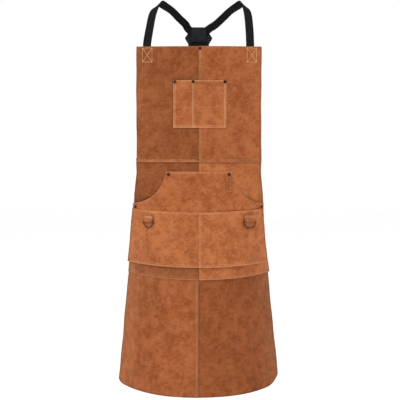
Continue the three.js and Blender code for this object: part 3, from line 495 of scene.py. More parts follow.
def grid_points(left, right, top, bottom):
    """x and drop of a piece's grid. left and right are functions of drop, top and bottom of x."""
    step = sizes().grid
    middle = (top(0) + bottom(0)) / 2
    columns = max(4, int((right(middle) - left(middle)) / step))
    rows = max(4, int((bottom(0) - top(0)) / step))
    across, down = np.meshgrid(spread(columns, EDGE_CROWDING), spread(rows, EDGE_CROWDING))
    drop = middle + 0 * across
    for _ in range(3):
        x = left(drop) + (right(drop) - left(drop)) * across
        drop = top(x) + (bottom(x) - top(x)) * down
    return x, drop


def ridge(distance, height, width):
    return height * np.exp(-(distance / width) ** 2)


def relief(piece, x, drop):
    """How far a lap underneath, or a gaping mouth, lifts a piece off its layer."""
    if piece in ("chest_pocket", "tool_slot"):
        return ridge(x - 4 * MM, LAP_RISE, 7 * MM)
    if piece == "hand_pocket":
        below = drop - hand_mouth(x)
        open_left = ridge(below, LEFT_GAPE, 20 * MM) * smooth_step((-x - 100 * MM) / (30 * MM))
        open_right = ridge(below, RIGHT_GAPE, 18 * MM) * smooth_step((x - 105 * MM) / (30 * MM))
        closing = smooth_step((half_width(drop) - 12 * MM - np.abs(x)) / (30 * MM))
        return ridge(x - 4 * MM, LAP_RISE, 7 * MM) + (open_left + open_right) * closing
    if piece.startswith("skirt"):
        return ridge(x + 4 * MM, LAP_RISE, 9 * MM)
    return ridge(x - 4 * MM, LAP_RISE, 9 * MM)


def closed_sheet(outer, inner):
    """Vertices of two grids of points, the faces on both grids, and the faces of the cut edge between."""
    rows, columns = outer.shape[:2]
    index = np.arange(rows * columns).reshape(rows, columns)
    a, b, c, d = index[:-1, :-1], index[1:, :-1], index[1:, 1:], index[:-1, 1:]
    front = np.stack([a, b, c, d], axis=-1).reshape(-1, 4)
    back = np.stack([d, c, b, a], axis=-1).reshape(-1, 4) + rows * columns
    loop = np.concatenate([index[0, ::-1], index[1:, 0], index[-1, 1:], index[-2:0:-1, -1]])
    after = np.roll(loop, -1)
    rim = np.stack([after, loop, loop + rows * columns, after + rows * columns], axis=-1)
    vertices = np.concatenate([outer.reshape(-1, 3), inner.reshape(-1, 3)])
    return vertices, np.concatenate([front, back]).tolist(), rim.tolist()


def dark_cuts_and_painted_shade(piece, x, drop):
    """How dark a piece is: darker at its side and hem cuts, with painted shade along the upper ply's centre
    lap edge and in the hand pocket's mouths.
    """
    border = 0.95 * np.exp(-np.abs(half_width(drop) - np.abs(x)) / (3 * MM))
    if piece.startswith("skirt"):
        border = np.maximum(border, 0.9 * np.exp(-np.abs(drop[-1] - drop) / (2.5 * MM)))
    # Painted shadow: a dark line along the upper ply's centre cut edge, standing for the lap's edge shadow.
    if piece in UPPER_PLIES:
        border = np.maximum(border, ridge(x, 1.0, 1.9 * MM))
    # Painted shade in the hand pocket's mouths, on the waist panels.
    if piece.startswith("waist"):
        border = np.maximum(border, painted_mouth_shade(x, drop))
    return border


def rubbing_and_light(piece, x, drop, bands):
    """How pale a piece is at its top and bottom cuts and along its bands: rubbed pale, and painted light on
    the waist band below the lower pockets.
    """
    cut = np.minimum(np.abs(drop - drop[0]), np.abs(drop - drop[-1]))
    near = rim_weight(piece, x) * np.exp(-(cut / (3 * MM)) ** 2)
    for band in bands:
        near = np.maximum(near, band(x, drop))
    return near


def leather_piece(name, piece, outline, materials, seams=(), bands=()):
    """One closed sheet of suede with a cut edge. seams give a point's distance from a stitched row, bands how
    pale it is made: rubbed pale, and painted light on the waist band below the lower pockets."""
    x, drop = grid_points(*outline)
    lift = layer_face(piece) + relief(piece, x, drop)
    dent = sum((ridge(seam(x, drop), STITCH_DENT, STITCH_REACH) for seam in seams), np.zeros_like(x))
    outer = surface(x, drop, lift - dent)
    inner = surface(x, drop, lift - sizes().leather)
    vertices, sheet, rim = closed_sheet(outer, inner)
    made = add_object(name, vertices, sheet + rim, materials)
    made.data.polygons.foreach_set("material_index", [0] * len(sheet) + [1] * len(rim))
    # edge holds the dark cuts and the painted shade; seam holds the pale rubbed strips and the painted light.
    for label, values in (("edge", dark_cuts_and_painted_shade(piece, x, drop)), ("seam", rubbing_and_light(piece, x, drop, bands))):
        both_faces = np.stack([np.clip(values, 0, 1), np.zeros_like(values)])
        layer_data = made.data.attributes.new(label, "FLOAT", "POINT")
        layer_data.data.foreach_set("value", both_faces.reshape(-1).astype(np.float32))
    return made


def declare_sheet(outline):
    """Points of a leather piece on its surface, worked out and not used."""
    x, drop = grid_points(*outline)
    points = surface(x, drop, 0)


UPPER_PLIES = ("bib_right", "waist_right", "skirt_left")


def painted_mouth_shade(x, drop):
    """Painted shade: a dark line on the waist panel in the hand pocket's gaping mouths, stronger on the left.
    """
    left = smooth_step((HAND_LEFT - x) / (8 * MM))
    right = 0.45 * smooth_step((x - HAND_RIGHT - 25 * MM) / (15 * MM))
    return (left + right) * ridge(drop - hand_mouth(x), 1.6, 4.5 * MM)


def rim_weight(piece, x):
    """How pale the top and bottom cuts are rubbed."""
    if piece == "hand_pocket":
        return 0.8 - 0.6 * smooth_step((x - HAND_RIGHT) / (20 * MM))
    if piece.startswith("skirt"):
        return 0.0
    return 0.2 if piece in ("tool_slot", "bib_left", "bib_right") else 0.65


def flat(value):
    """A straight edge, the same all along."""
    return lambda along: value + 0 * along


def side_edge(side, inset=0.0):
    """The side edge, cut by hand, so not quite straight."""
    def line(drop):
        wander = 0.6 * MM * np.sin(19 * drop + side) + 0.35 * MM * np.sin(61 * drop)
        hollow = RIGHT_HOLLOW * smooth_step((drop - HAND_SIDE + SEAM_LAP) / (50 * MM)) * smooth_step(
            (SKIRT_SEAM - drop) / (70 * MM))
        return side * (half_width(drop) - inset + wander - (hollow if side > 0 else 0))
    return line


def edge_across(drop, rise):
    """A cut across the apron that is higher at the sides by rise."""
    return lambda x: drop - rise * np.abs(x / half_width(drop)) ** 2


def hem_line(radius):
    """The hem, with its rounded outer corner."""
    def line(x):
        edge = half_width(APRON_LENGTH)
        plain = APRON_LENGTH - HEM_RISE * np.abs(x / edge) ** HEM_POWER
        start = edge - radius - 1 * MM
        over = np.clip((np.abs(x) - start) / radius, 0, 1)
        corner = radius * (1 - np.sqrt(1 - over * over))
        return plain - corner
    return line


def bib_outline(side):
    centre = flat(CENTRE_LAP if side < 0 else 0.0)
    edges = (side_edge(-1, BIB_INSET_LEFT), centre) if side < 0 else (centre, side_edge(1, BIB_INSET_RIGHT))
    return (*edges, flat(0.0), flat(BIB_SEAM))


def waist_outline(side):
    centre = flat(CENTRE_LAP if side < 0 else 0.0)
    edges = (side_edge(-1), centre) if side < 0 else (centre, side_edge(1))
    return (*edges, flat(BIB_SEAM - SEAM_LAP), edge_across(SKIRT_SEAM, SKIRT_SEAM_RISE))


def skirt_outline(side):
    centre = flat(0.0 if side < 0 else -CENTRE_LAP)
    edges = (side_edge(-1), centre) if side < 0 else (centre, side_edge(1))
    radius = LEFT_HEM_RADIUS if side < 0 else RIGHT_HEM_RADIUS
    return (*edges, edge_across(SKIRT_SEAM - SEAM_LAP, SKIRT_SEAM_RISE), hem_line(radius))


def chest_outline():
    return (flat(CHEST_LOW.x), flat(CHEST_HIGH.x), flat(BIB_TOP - CHEST_HIGH.z), flat(BIB_TOP - CHEST_LOW.z))


def bezier_drop(x, start, near, far, end):
    """Height of a cubic curve at x, from samples of the curve."""
    t = np.linspace(0, 1, 200)[:, None]
    curve = ((1 - t) ** 3 * start + 3 * (1 - t) ** 2 * t * near + 3 * (1 - t) * t * t * far + t ** 3 * end)
    return np.interp(x, curve[:, 0], curve[:, 1])


def hand_mouth(x):
    """Top edge of the hand pocket: level in the middle, a curved opening to each side."""
    x = np.asarray(x, float)
    drops = []
    for reach, sign in ((-HAND_LEFT, -1), (HAND_RIGHT, 1)):
        start = np.array([reach, HAND_TOP])
        near = np.array([reach + 16 * MM, HAND_SIDE - 28 * MM])
        far = np.array([reach + 46 * MM, HAND_SIDE - 6 * MM])
        end = np.array([HAND_SIDE_X, HAND_SIDE])
        drops.append(np.where(x * sign > reach, bezier_drop(x * sign, start, near, far, end), HAND_TOP))
    return np.maximum(drops[0], drops[1])


def hand_outline():
    return (side_edge(-1), side_edge(1), hand_mouth, flat(HAND_BOTTOM))


def lower_outline(side):
    centre = flat(CENTRE_LAP if side < 0 else 0.0)
    edges = (side_edge(-1), centre) if side < 0 else (centre, side_edge(1, LOWER_INSET))
    top = edge_across(LOWER_TOP, LOWER_TOP_RISE)
    return (*edges, top, edge_across(LOWER_TOP + LOWER_HEIGHT, LOWER_BOTTOM_RISE))


def slot_outline():
    low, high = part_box("tool_slot")
    return (flat(low.x), flat(high.x), flat(BIB_TOP - high.z), flat(BIB_TOP - low.z))


SIDE_HEM = 9 * MM
ROW_GAP = 5 * MM
MOUTH_HEM = 6 * MM
SEW_EDGE = 2 * MM
SEW_HEM = 6 * MM
ROW_EDGE = 3 * MM
FIRST_ROW = 1.6 * MM
SECOND_ROW = 7.5 * MM
BIB_SECOND_ROW = 8 * MM
# How far the leather lifts over a lap and at each mouth, and sinks along a seam.
LAP_RISE = 0.7 * MM
LEFT_GAPE = 6 * MM
RIGHT_GAPE = 2.2 * MM
STITCH_DENT = 0.35 * MM
STITCH_REACH = 2.2 * MM


def from_side(inset):
    return lambda x, drop: np.abs(half_width(drop) - inset - np.abs(x))


def from_column(column):
    return lambda x, drop: np.abs(x - column)


def from_row(line):
    return lambda x, drop: np.abs(drop - line(x))


def pale_column(column, width, strength=0.8):
    """A rubbed strip down a lapped seam, patchy along its length."""
    def weight(x, drop):
        patchy = 0.75 + 0.25 * np.sin(43 * drop + 1.3) * np.sin(17 * drop)
        return strength * patchy * smooth_step((width / 2 + 1 * MM - np.abs(x - column)) / (2 * MM))
    return weight


def pale_row(line, width, strength=0.8):
    """A pale strip along a row, patchy along its length: a rubbed edge, and on the left waist panel painted
    light.
    """
    def weight(x, drop):
        patchy = 0.75 + 0.25 * np.sin(37 * x + 0.4) * np.sin(83 * x)
        return strength * patchy * smooth_step((width / 2 + 1 * MM - np.abs(drop - line(x))) / (2 * MM))
    return weight


def side_wear_and_light(width, strength, start=0.0):
    """Side margin made lighter from the drop called start downwards: wear on most pieces, painted light on
    the waist band below the lower pockets.
    """
    def weight(x, drop):
        margin = 1 - (half_width(drop) - np.abs(x)) / width
        return strength * smooth_step(margin) * smooth_step((drop - start) / (15 * MM))
    return weight


# Gain, offset into the grain, and warmth of each piece's hide. The left waist panel's low gain is partly the
# hide's tone and partly painted shade of its hand opening.
PANEL_TONES = {
    "bib_left": (0.632, 3.1, 0.07), "bib_right": (0.81, 7.3, 0.05),
    "waist_left": (0.63, 11.9, 0.06), "waist_right": (1.06, 15.2, 0.00),
    "skirt_left": (0.82, 19.4, 0.05), "skirt_right": (0.61, 23.8, 0.11),
    "chest_pocket": (0.97, 27.1, 0.01), "hand_pocket": (0.98, 31.6, 0.03),
    "lower_pocket_left": (1.08, 35.2, -0.01), "lower_pocket_right": (1.14, 39.9, -0.01),
    "tool_slot": (0.92, 43.5, 0.02), "ring_tab": (0.98, 47.7, 0.00),
}


def hide(piece):
    gain, offset, warm = PANEL_TONES[piece]
    return [shared(f"suede_{piece}", suede_material, gain, offset, warm), shared("cut_edge", edge_material)]


class APRON_OT_panels(bpy.types.Operator):
    """Cut and hang the bib, waist and skirt panels"""

    bl_idname = "apron.panels"
    bl_label = "Leather panels"

    def execute(self, context):
        pieces = [
            ("bib", bib_outline, "bib_panel"), ("waist", waist_outline, "waist_panel"),
            ("skirt", skirt_outline, "skirt_panel"),
        ]
        for label, outline_for, node in pieces:
            for side, hand in ((-1, "left"), (1, "right")):
                outline = outline_for(side)
                lap = -3 * MM if label == "skirt" else 4 * MM
                seams = [from_column(lap - 4 * MM), from_column(lap + 3 * MM)]
                if label != "bib":
                    seams.append(from_side(SIDE_HEM))
                piece = f"{label}_{hand}"
                slot = "suede_dark" if piece in ("waist_left", "skirt_right") else "suede"
                made = leather_piece(
                    f"{piece}_leather", piece, outline, hide(piece), seams, self.bands(label, side))
                place(made, slot, f"{node}_{hand}")
                declare_sheet(outline)
        return {"FINISHED"}

    def bands(self, label, side):
        """Pale strips: down the upper ply of each centre lap, and along the lower edges."""
        upper = -1 if label == "skirt" else 1
        # On the waist panels the pale side margins of the band below the lower pockets are painted light
        # against the pockets' shadow.
        found = [side_wear_and_light(60 * MM, 0.45, LOWER_TOP + LOWER_HEIGHT - 30 * MM) if label == "waist"
                 else side_wear_and_light(70 * MM, 0.2 if label == "skirt" else 0.1)]
        if side == upper:
            found.append(pale_column(side * 5 * MM, 4 * MM, 0.22 if label == "skirt" else 0.32))
        if label == "bib":
            found.append(pale_row(flat(BIB_SEAM - 4 * MM), 5 * MM, 0.65 if side < 0 else 0.15))
        if label == "waist":
            found.append(pale_row(edge_across(SKIRT_SEAM - 3 * MM, SKIRT_SEAM_RISE), 3 * MM, 0.35))
            # Painted light: a broad pale strip lifts the left waist panel's band below the lower pockets
            # against their shadow and the panel's painted shade.
            if side < 0:
                found.append(pale_row(edge_across(SKIRT_SEAM - 20 * MM, SKIRT_SEAM_RISE), 40 * MM, 0.16))
        return found


class APRON_OT_pockets(bpy.types.Operator):
    """Lay the chest, hand and lower pockets on the panels"""

    bl_idname = "apron.pockets"
    bl_label = "Pockets"

    def execute(self, context):
        left, right = CHEST_LOW.x, CHEST_HIGH.x
        divider = left + CHEST_DIVIDER
        chest_seams = [from_column(left + 3 * MM), from_column(right - 3 * MM),
                       from_column(divider - 2 * MM), from_column(divider + 2 * MM)]
        bottom = chest_outline()[3](0)
        chest_bands = [pale_column(left + 4 * MM, 6 * MM, 0.25), pale_column(right - 4 * MM, 6 * MM, 0.2),
                       pale_row(flat(bottom - 4 * MM), 6 * MM, 0.25), pale_column(divider, 4 * MM, 0.15)]
        self.add("chest_pocket", chest_outline(), chest_seams, chest_bands)
        self.add("hand_pocket", hand_outline(), [from_row(lambda x: hand_mouth(x) + 7 * MM)], [])
        self.add("tool_slot", slot_outline(), [], [])
        for side, hand in ((-1, "left"), (1, "right")):
            outline = lower_outline(side)
            seams = [from_row(edge_across(LOWER_TOP + 6 * MM, LOWER_TOP_RISE))]
            bands = [side_wear_and_light(60 * MM, 0.15),
                     pale_row(edge_across(LOWER_TOP + 3 * MM, LOWER_TOP_RISE), 5 * MM, 0.5),
                     pale_row(edge_across(LOWER_TOP + LOWER_HEIGHT - 3 * MM, LOWER_BOTTOM_RISE), 4 * MM, 0.5)]
            if side > 0:
                bands.append(pale_column(4 * MM, 3.5 * MM, 0.5))
            self.add(f"lower_pocket_{hand}", outline, seams, bands)
        return {"FINISHED"}

    def add(self, piece, outline, seams, bands):
        made = leather_piece(f"{piece}_leather", piece, outline, hide(piece), seams, bands)
        place(made, "suede", piece)
        declare_sheet(outline)


# ---- Stitching -----------------------------------------------------------------------------------


def spaced(points, step):
    """Points at equal steps along a polyline of (x, drop)."""
    points = np.asarray(points, float)
    length = np.concatenate([[0], np.cumsum(np.linalg.norm(np.diff(points, axis=0), axis=1))])
    count = max(1, int(round(length[-1] / step)))
    at = np.linspace(0, length[-1], count + 1)
    return np.stack([np.interp(at, length, points[:, k]) for k in range(2)], axis=1)


STITCH_SECTIONS = ((-0.40, 0.35, -0.45), (-0.24, 0.85, 0.10), (0.0, 1.0, 0.30),
                   (0.24, 0.85, 0.10), (0.40, 0.35, -0.45))
STITCH_SIDES = 6


def stitch_row(points, piece, vertices, faces):
    """Add one row of stitches on a piece to the lists of vertices and faces."""
    marks = spaced(points, sizes().stitch)
    centres = (marks[1:] + marks[:-1]) / 2
    lift = layer_face(piece) + relief(piece, marks[:, 0], marks[:, 1])
    ends = surface(marks[:, 0], marks[:, 1], lift)
    add_stitches(ends, surface_normal(centres[:, 0], centres[:, 1]), vertices, faces)


def add_stitches(ends, normals, vertices, faces):
    """One stitch between each end and the next, standing out along its normal."""
    thick = sizes().thread
    for a, b, normal in zip(ends[:-1], ends[1:], normals):
        middle = (a + b) / 2
        along = b - a
        length = np.linalg.norm(along)
        along = along / length
        across = np.cross(normal, along)
        first = len(vertices)
        for reach, width, height in STITCH_SECTIONS:
            centre = middle + along * reach * length + normal * height * thick
            for k in range(STITCH_SIDES):
                turn = 2 * math.pi * k / STITCH_SIDES
                offset = across * math.cos(turn) + normal * math.sin(turn) * 0.8
                vertices.append(centre + offset * thick / 2 * width)
        close_tube(first, len(STITCH_SECTIONS), STITCH_SIDES, faces)


def close_tube(first, rings, sides, faces):
    """Faces of a capped tube whose rings of vertices follow one another."""
    for ring in range(rings - 1):
        for k in range(sides):
            a = first + ring * sides + k
            b = first + ring * sides + (k + 1) % sides
            faces.append((a, b, b + sides, a + sides))
    faces.append(tuple(first + k for k in reversed(range(sides))))
    faces.append(tuple(first + (rings - 1) * sides + k for k in range(sides)))


def line_down(column, top, bottom, steps=60):
    return [(column, d) for d in np.linspace(top, bottom, steps)]


def line_side(side, inset, top, bottom, steps=60):
    return [(side * (half_width(d) - inset), d) for d in np.linspace(top, bottom, steps)]


def line_across(edge, left, right, steps=60):
    return [(x, float(edge(x))) for x in np.linspace(left, right, steps)]


def rectangle(left, right, top, bottom, cross=False):
    rows = [line_across(flat(top), left, right, 2), line_down(right, top, bottom, 2),
            line_across(flat(bottom), right, left, 2), line_down(left, bottom, top, 2)]
    if cross:
        rows += [[(left, top), (right, bottom)], [(right, top), (left, bottom)]]
    return rows


class APRON_OT_stitching(bpy.types.Operator):
    """Sew the seams, hems, pockets and strap ends"""

    bl_idname = "apron.stitching"
    bl_label = "Stitching"

    def execute(self, context):
        bright = shared("thread_tan", thread_material, colours().thread)
        middling = shared("thread_gold", thread_material, colours().thread, 0.72)
        quiet = shared("thread_rust", thread_material, colours().worn_thread)
        dull = shared("thread_brown", thread_material, colours().worn_thread, 0.62)
        for name, piece, rows, material in self.rows(bright, middling, quiet, dull):
            vertices, faces = [], []
            for row in rows:
                stitch_row(row, piece, vertices, faces)
            place(add_object(f"stitch_{name}", vertices, faces, [material], 80), "suede")
        for hand in ("left", "right"):
            vertices, faces = self.tab_stitches(hand)
            place(add_object(f"stitch_ring_tab_{hand}", vertices, faces, [bright], 80), "suede")
        return {"FINISHED"}

    def tab_stitches(self, hand):
        """Two rows across the front of a ring tab."""
        vertices, faces = [], []
        on_tab = ring_frame(hand) @ ring_fit(hand)
        outward = -np.array(on_tab.col[1].xyz)
        reach = RING_TAB_WIDTH / 2 - 1.5 * MM
        count = round(2 * reach / sizes().stitch)
        for up in TAB_ROWS:
            ends = [on_tab @ Vector((x, TAB_FACE, up)) for x in np.linspace(-reach, reach, count + 1)]
            add_stitches(np.array(ends), [outward] * count, vertices, faces)
        return vertices, faces

    def rows(self, bright, middling, quiet, dull):
        """Name, piece, rows and thread of every group of stitches."""
        for side, hand in ((-1, "left"), (1, "right")):
            yield f"strap_box_{hand}", f"bib_{hand}", self.strap_box(side), bright
            yield f"side_waist_{hand}", f"waist_{hand}", self.waist_side_rows(side), dull
            yield f"side_skirt_{hand}", f"skirt_{hand}", self.skirt_side_rows(side), dull
            yield f"seam_bib_{hand}", f"bib_{hand}", self.bib_seam(side), quiet if side < 0 else dull
            yield f"seam_waist_{hand}", f"waist_{hand}", self.waist_seam(side), dull
            lower = f"lower_pocket_{hand}"
            yield f"rows_{lower}", lower, self.lower_pocket_rows(side), quiet
        yield "centre_bib", "bib_right", self.centre_bib_rows(), quiet
        yield "centre_skirt", "skirt_left", [
            line_down(-FIRST_ROW, SKIRT_SEAM + ROW_EDGE, APRON_LENGTH - ROW_EDGE),
            line_down(-SECOND_ROW, SKIRT_SEAM + ROW_EDGE, APRON_LENGTH - ROW_EDGE)], quiet
        base = LOWER_TOP + LOWER_HEIGHT
        yield "centre_lower_pocket", "lower_pocket_right", [
            line_down(FIRST_ROW, LOWER_TOP + ROW_EDGE, base - 10 * MM),
            line_down(SECOND_ROW, LOWER_TOP + ROW_EDGE, base - 10 * MM)], quiet
        yield "chest_pocket", "chest_pocket", self.chest_rows(), middling
        mouth = line_across(lambda x: hand_mouth(x) + MOUTH_HEM, HAND_LEFT + ROW_EDGE, HAND_RIGHT - ROW_EDGE)
        yield "hand_pocket", "hand_pocket", [mouth], quiet
        left, right, top, bottom = (line(0) for line in slot_outline())
        frame_rows = rectangle(left + SEW_EDGE, right - SEW_EDGE, top + SEW_EDGE, bottom - SEW_EDGE)
        yield "tool_slot", "tool_slot", frame_rows, dull

    def strap_box(self, side):
        """The crossed box that holds a shoulder strap."""
        middle = side * (sizes().bib_half_width - STRAP_INSET) + STRAP_BOX_SHIFT[side]
        near, far = middle - STRAP_BOX_WIDTH / 2, middle + STRAP_BOX_WIDTH / 2
        return rectangle(near, far, STRAP_BOX_TOP, STRAP_BOX_BOTTOM, cross=True)

    def waist_side_rows(self, side):
        """The side hem, above and below the pockets."""
        below, above = LOWER_TOP + LOWER_HEIGHT + ROW_EDGE, SKIRT_SEAM - SKIRT_SEAM_RISE - ROW_EDGE
        return [line_side(side, SIDE_HEM, BIB_SEAM + ROW_EDGE, HAND_SIDE - 8 * MM),
                line_side(side, SIDE_HEM, below, above)]

    def skirt_side_rows(self, side):
        return [line_side(side, SIDE_HEM, SKIRT_SEAM + ROW_EDGE, APRON_LENGTH - 70 * MM)]

    def bib_seam(self, side):
        """Two rows from the side to the centre, where the bib is sewn on the waist."""
        ends = sorted((side * (half_width(BIB_SEAM) - SEW_EDGE - BIB_INSET_LEFT), side * SEW_EDGE))
        return [line_across(flat(BIB_SEAM - ROW_EDGE), *ends),
                line_across(flat(BIB_SEAM - ROW_EDGE - ROW_GAP), *ends)]

    def waist_seam(self, side):
        """Two rows from the side to the centre, where the waist is sewn on the skirt."""
        ends = sorted((side * (half_width(SKIRT_SEAM) - SEW_EDGE), side * SEW_EDGE))
        return [line_across(edge_across(SKIRT_SEAM - ROW_EDGE, SKIRT_SEAM_RISE), *ends),
                line_across(edge_across(SKIRT_SEAM - ROW_EDGE - ROW_GAP, SKIRT_SEAM_RISE), *ends)]

    def lower_pocket_rows(self, side):
        """One row along the mouth and two along the bottom."""
        reach = sorted((side * (half_width(LOWER_TOP) - ROW_EDGE), side * SEW_EDGE))
        base = LOWER_TOP + LOWER_HEIGHT
        return [line_across(edge_across(LOWER_TOP + MOUTH_HEM, LOWER_TOP_RISE), *reach),
                line_across(edge_across(base - ROW_EDGE, LOWER_BOTTOM_RISE), *reach),
                line_across(edge_across(base - ROW_EDGE - ROW_GAP, LOWER_BOTTOM_RISE), *reach)]

    def centre_bib_rows(self):
        """Two rows down the centre lap, above and below the chest pocket."""
        above, below = BIB_TOP - CHEST_HIGH.z - ROW_EDGE, BIB_TOP - CHEST_LOW.z + ROW_EDGE
        return [line_down(FIRST_ROW, 14 * MM, above), line_down(BIB_SECOND_ROW, 14 * MM, above),
                line_down(FIRST_ROW, below, BIB_SEAM - 10 * MM),
                line_down(BIB_SECOND_ROW, below, BIB_SEAM - 10 * MM)]

    def chest_rows(self):
        left, right, top, bottom = (line(0) for line in chest_outline())
        divider = left + CHEST_DIVIDER
        columns = (left + SEW_EDGE, left + SEW_HEM, right - SEW_EDGE, right - SEW_HEM,
                   divider - SEW_EDGE, divider + SEW_EDGE)
        drops = (bottom - SEW_EDGE, bottom - SEW_HEM, top + 2.5 * MM)
        rows = [line_down(column, top + 1 * MM, bottom - 1 * MM) for column in columns]
        rows += [line_across(flat(drop), left + SEW_EDGE, right - SEW_EDGE) for drop in drops]
        return rows


# ---- Webbing -------------------------------------------------------------------------------------


def catmull_rom(points, t):
    """Centripetal Catmull-Rom curve through points, at t from 0 to 1."""
    count = len(points)
    place_on = t * (count - 1)
    start = min(int(place_on), count - 2)
    weight = place_on - start
    p1, p2 = points[start], points[start + 1]
    p0 = points[start - 1] if start > 0 else 2 * p1 - p2
    p3 = points[start + 2] if start + 2 < count else 2 * p2 - p1
    d0, d1, d2 = (max(float(np.linalg.norm(b - a)) ** 0.5, 1e-4) for a, b in ((p0, p1), (p1, p2), (p2, p3)))
    t1 = ((p1 - p0) / d0 - (p2 - p0) / (d0 + d1) + (p2 - p1) / d1) * d1
    t2 = ((p2 - p1) / d1 - (p3 - p1) / (d1 + d2) + (p3 - p2) / d2) * d1
    square, cube = weight * weight, weight ** 3
    return ((2 * cube - 3 * square + 1) * p1 + (cube - 2 * square + weight) * t1
            + (3 * square - 2 * cube) * p2 + (cube - square) * t2)


STRAP_SAMPLES = 1500
STRAP_SECTION = ((-0.50, 0.0), (-0.485, -0.36), (-0.44, -0.5), (-0.2, -0.46), (0.2, -0.46), (0.44, -0.5),
                 (0.485, -0.36), (0.50, 0.0), (0.485, 0.36), (0.44, 0.5), (0.2, 0.46), (-0.2, 0.46),
                 (-0.44, 0.5), (-0.485, 0.36))


def strap(name, path, step, *nodes, body=BODY):
    """Flat webbing along points [x, y, z, outward normal], with a UV map in metres along it."""
    path = np.asarray(path, float)
    centres, facings = path[:, :3], path[:, 3:]
    samples = np.linspace(0, 1, STRAP_SAMPLES)
    line = np.array([catmull_rom(centres, t) for t in samples])
    length = np.concatenate([[0], np.cumsum(np.linalg.norm(np.diff(line, axis=0), axis=1))])
    count = int(length[-1] / step)
    vertices, faces, weave = [], [], []
    for distance in np.linspace(0, length[-1], count + 1):
        t = float(np.interp(distance, length, samples))
        centre = catmull_rom(centres, t)
        tangent = catmull_rom(centres, min(1, t + 1e-4)) - catmull_rom(centres, max(0, t - 1e-4))
        tangent /= np.linalg.norm(tangent)
        out = catmull_rom(facings, t)
        out = out - tangent * np.dot(out, tangent)
        out /= np.linalg.norm(out)
        across = np.cross(out, tangent)
        for u, v in STRAP_SECTION:
            vertices.append(centre + across * u * WEBBING_WIDTH + out * v * WEBBING)
            weave.append((distance, u * WEBBING_WIDTH))
    close_tube(0, count + 1, len(STRAP_SECTION), faces)
    made = add_object(name, vertices, faces, [shared("webbing", webbing_material)], 60)
    uv = made.data.uv_layers.new(name="weave")
    for loop in made.data.loops:
        uv.data[loop.index].uv = weave[loop.vertex_index]
    return place(made, "webbing", *nodes, body=body)


SHOULDER_STEP = 4 * MM
TAB_STEP = 1.2 * MM
WAIST_STEP = 2 * MM
TAB_CLEAR = 1.4 * MM
LAP_GAP = 1.05 * MM


def waist_side():
    """Middle of the lap where a shoulder strap is sewn on the waist strap, on the right."""
    _, rear = side_ring_bars()
    return rear + np.array([1.3 * MM, 47.6 * MM])


def shoulder_path(side):
    """From behind one bib corner, over the shoulder, through the pad, down to the other side."""
    layer = "bib_left" if side < 0 else "bib_right"
    inset = sizes().bib_half_width - STRAP_INSET
    under = layer_face(layer) - sizes().leather - FIT_GAP - WEBBING / 2
    path = []
    for share in (1, 0.6, 0.25, 0, -0.12):
        drop = STRAP_SEAM * share
        path.append([*surface(side * inset, drop, under), *surface_normal(side * inset, drop)])
    crest = SHOULDER_SPACING / 2
    depth = BACK_DEPTH if side < 0 else BACK_DEPTH + BACK_LAYER
    # x, then y and z in millimetres, the outward normal, and the share of the sideways shift.
    over = [
        [inset - 3 * MM, -84, -101, 0.12, -0.88, 0.45, 0.35],
        [inset - 11 * MM, -52, -44, 0.2, -0.6, 0.77, 0.7],
        [crest, -4, -6 - SHOULDER_SLOPE, 0.78, 0, 0.62, 1],
        [crest - 17 * MM, 32, -10 - SHOULDER_SLOPE, 0.5, 0.55, 0.67, 1],
        [crest - 37 * MM, 66, -26, 0.2, 0.66, 0.72, 1],
        [crest - 59 * MM, 99, -44, 0.12, 0.8, 0.58, 0.9],
        [crest - 80 * MM, 122, -61, 0.05, 0.93, 0.36, 0.8],
    ]
    for x, y, z, nx, ny, nz, shift in over:
        path.append([side * x + shift * SHOULDER_SHIFT, y * MM, z * MM, side * nx, ny, nz])
    for x, z in ((35, 31), (22, 20), (0, 0), (-13, -21), (-26, -52), (-36, -76)):
        path.append([side * x * MM, depth, z * MM - CROSSING_DROP, 0, 1, 0])
    edge = waist_side()
    outside = edge[0] + BACK_LAYER + LAP_GAP
    down = []
    for outward, forward, lower, nx, ny in (
            (0.378, 0, 0.361, 0.15, 0.98), (0.625, 0.173, 0.602, 0.42, 0.9),
            (0.821, 0.442, 0.795, 0.66, 0.75), (0.957, 0.731, 0.9035, 0.86, 0.5)):
        y = BACK_DEPTH + (edge[1] - BACK_DEPTH) * forward
        down.append([edge[0] * outward, y, -CROSSING_DROP + (WAIST_LINE + CROSSING_DROP) * lower, nx, ny])
    down += [
        [outside - 0.5 * MM, edge[1] + 4 * MM, WAIST_LINE + 14 * MM, 0.97, 0.2],
        [outside, edge[1], WAIST_LINE - 1 * MM, 0.985, 0.15],
        [outside, edge[1] - 2 * MM, WAIST_LINE - 14 * MM, 0.985, 0.15],
    ]
    for x, y, z, nx, ny in down:
        path.append([-side * x, y, z, -side * nx, ny, 0])
    return path


SIDE_RING_WIRE = 3.4 * MM
SIDE_RING_LENGTH = 24 * MM
SIDE_RING_HEIGHT = 38 * MM
SIDE_RING_CORNER = 4 * MM
BUCKLE_BAR = 3.6 * MM


def side_ring_bars():
    """Front and rear bar of the right side ring, as (x, y)."""
    low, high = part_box("side_ring_right")
    half = SIDE_RING_WIRE / 2
    return np.array([low.x + half, low.y + half]), np.array([high.x - half, high.y - half])


def turn_round(bar, radius, start, end, side):
    """Part of a turn of strap round an upright bar."""
    path = []
    for turn in np.linspace(start, end, 7):
        nx, ny = math.cos(turn), math.sin(turn)
        path.append([side * (bar[0] + radius * nx), bar[1] + radius * ny, WAIST_LINE, side * nx, ny, 0])
    return path


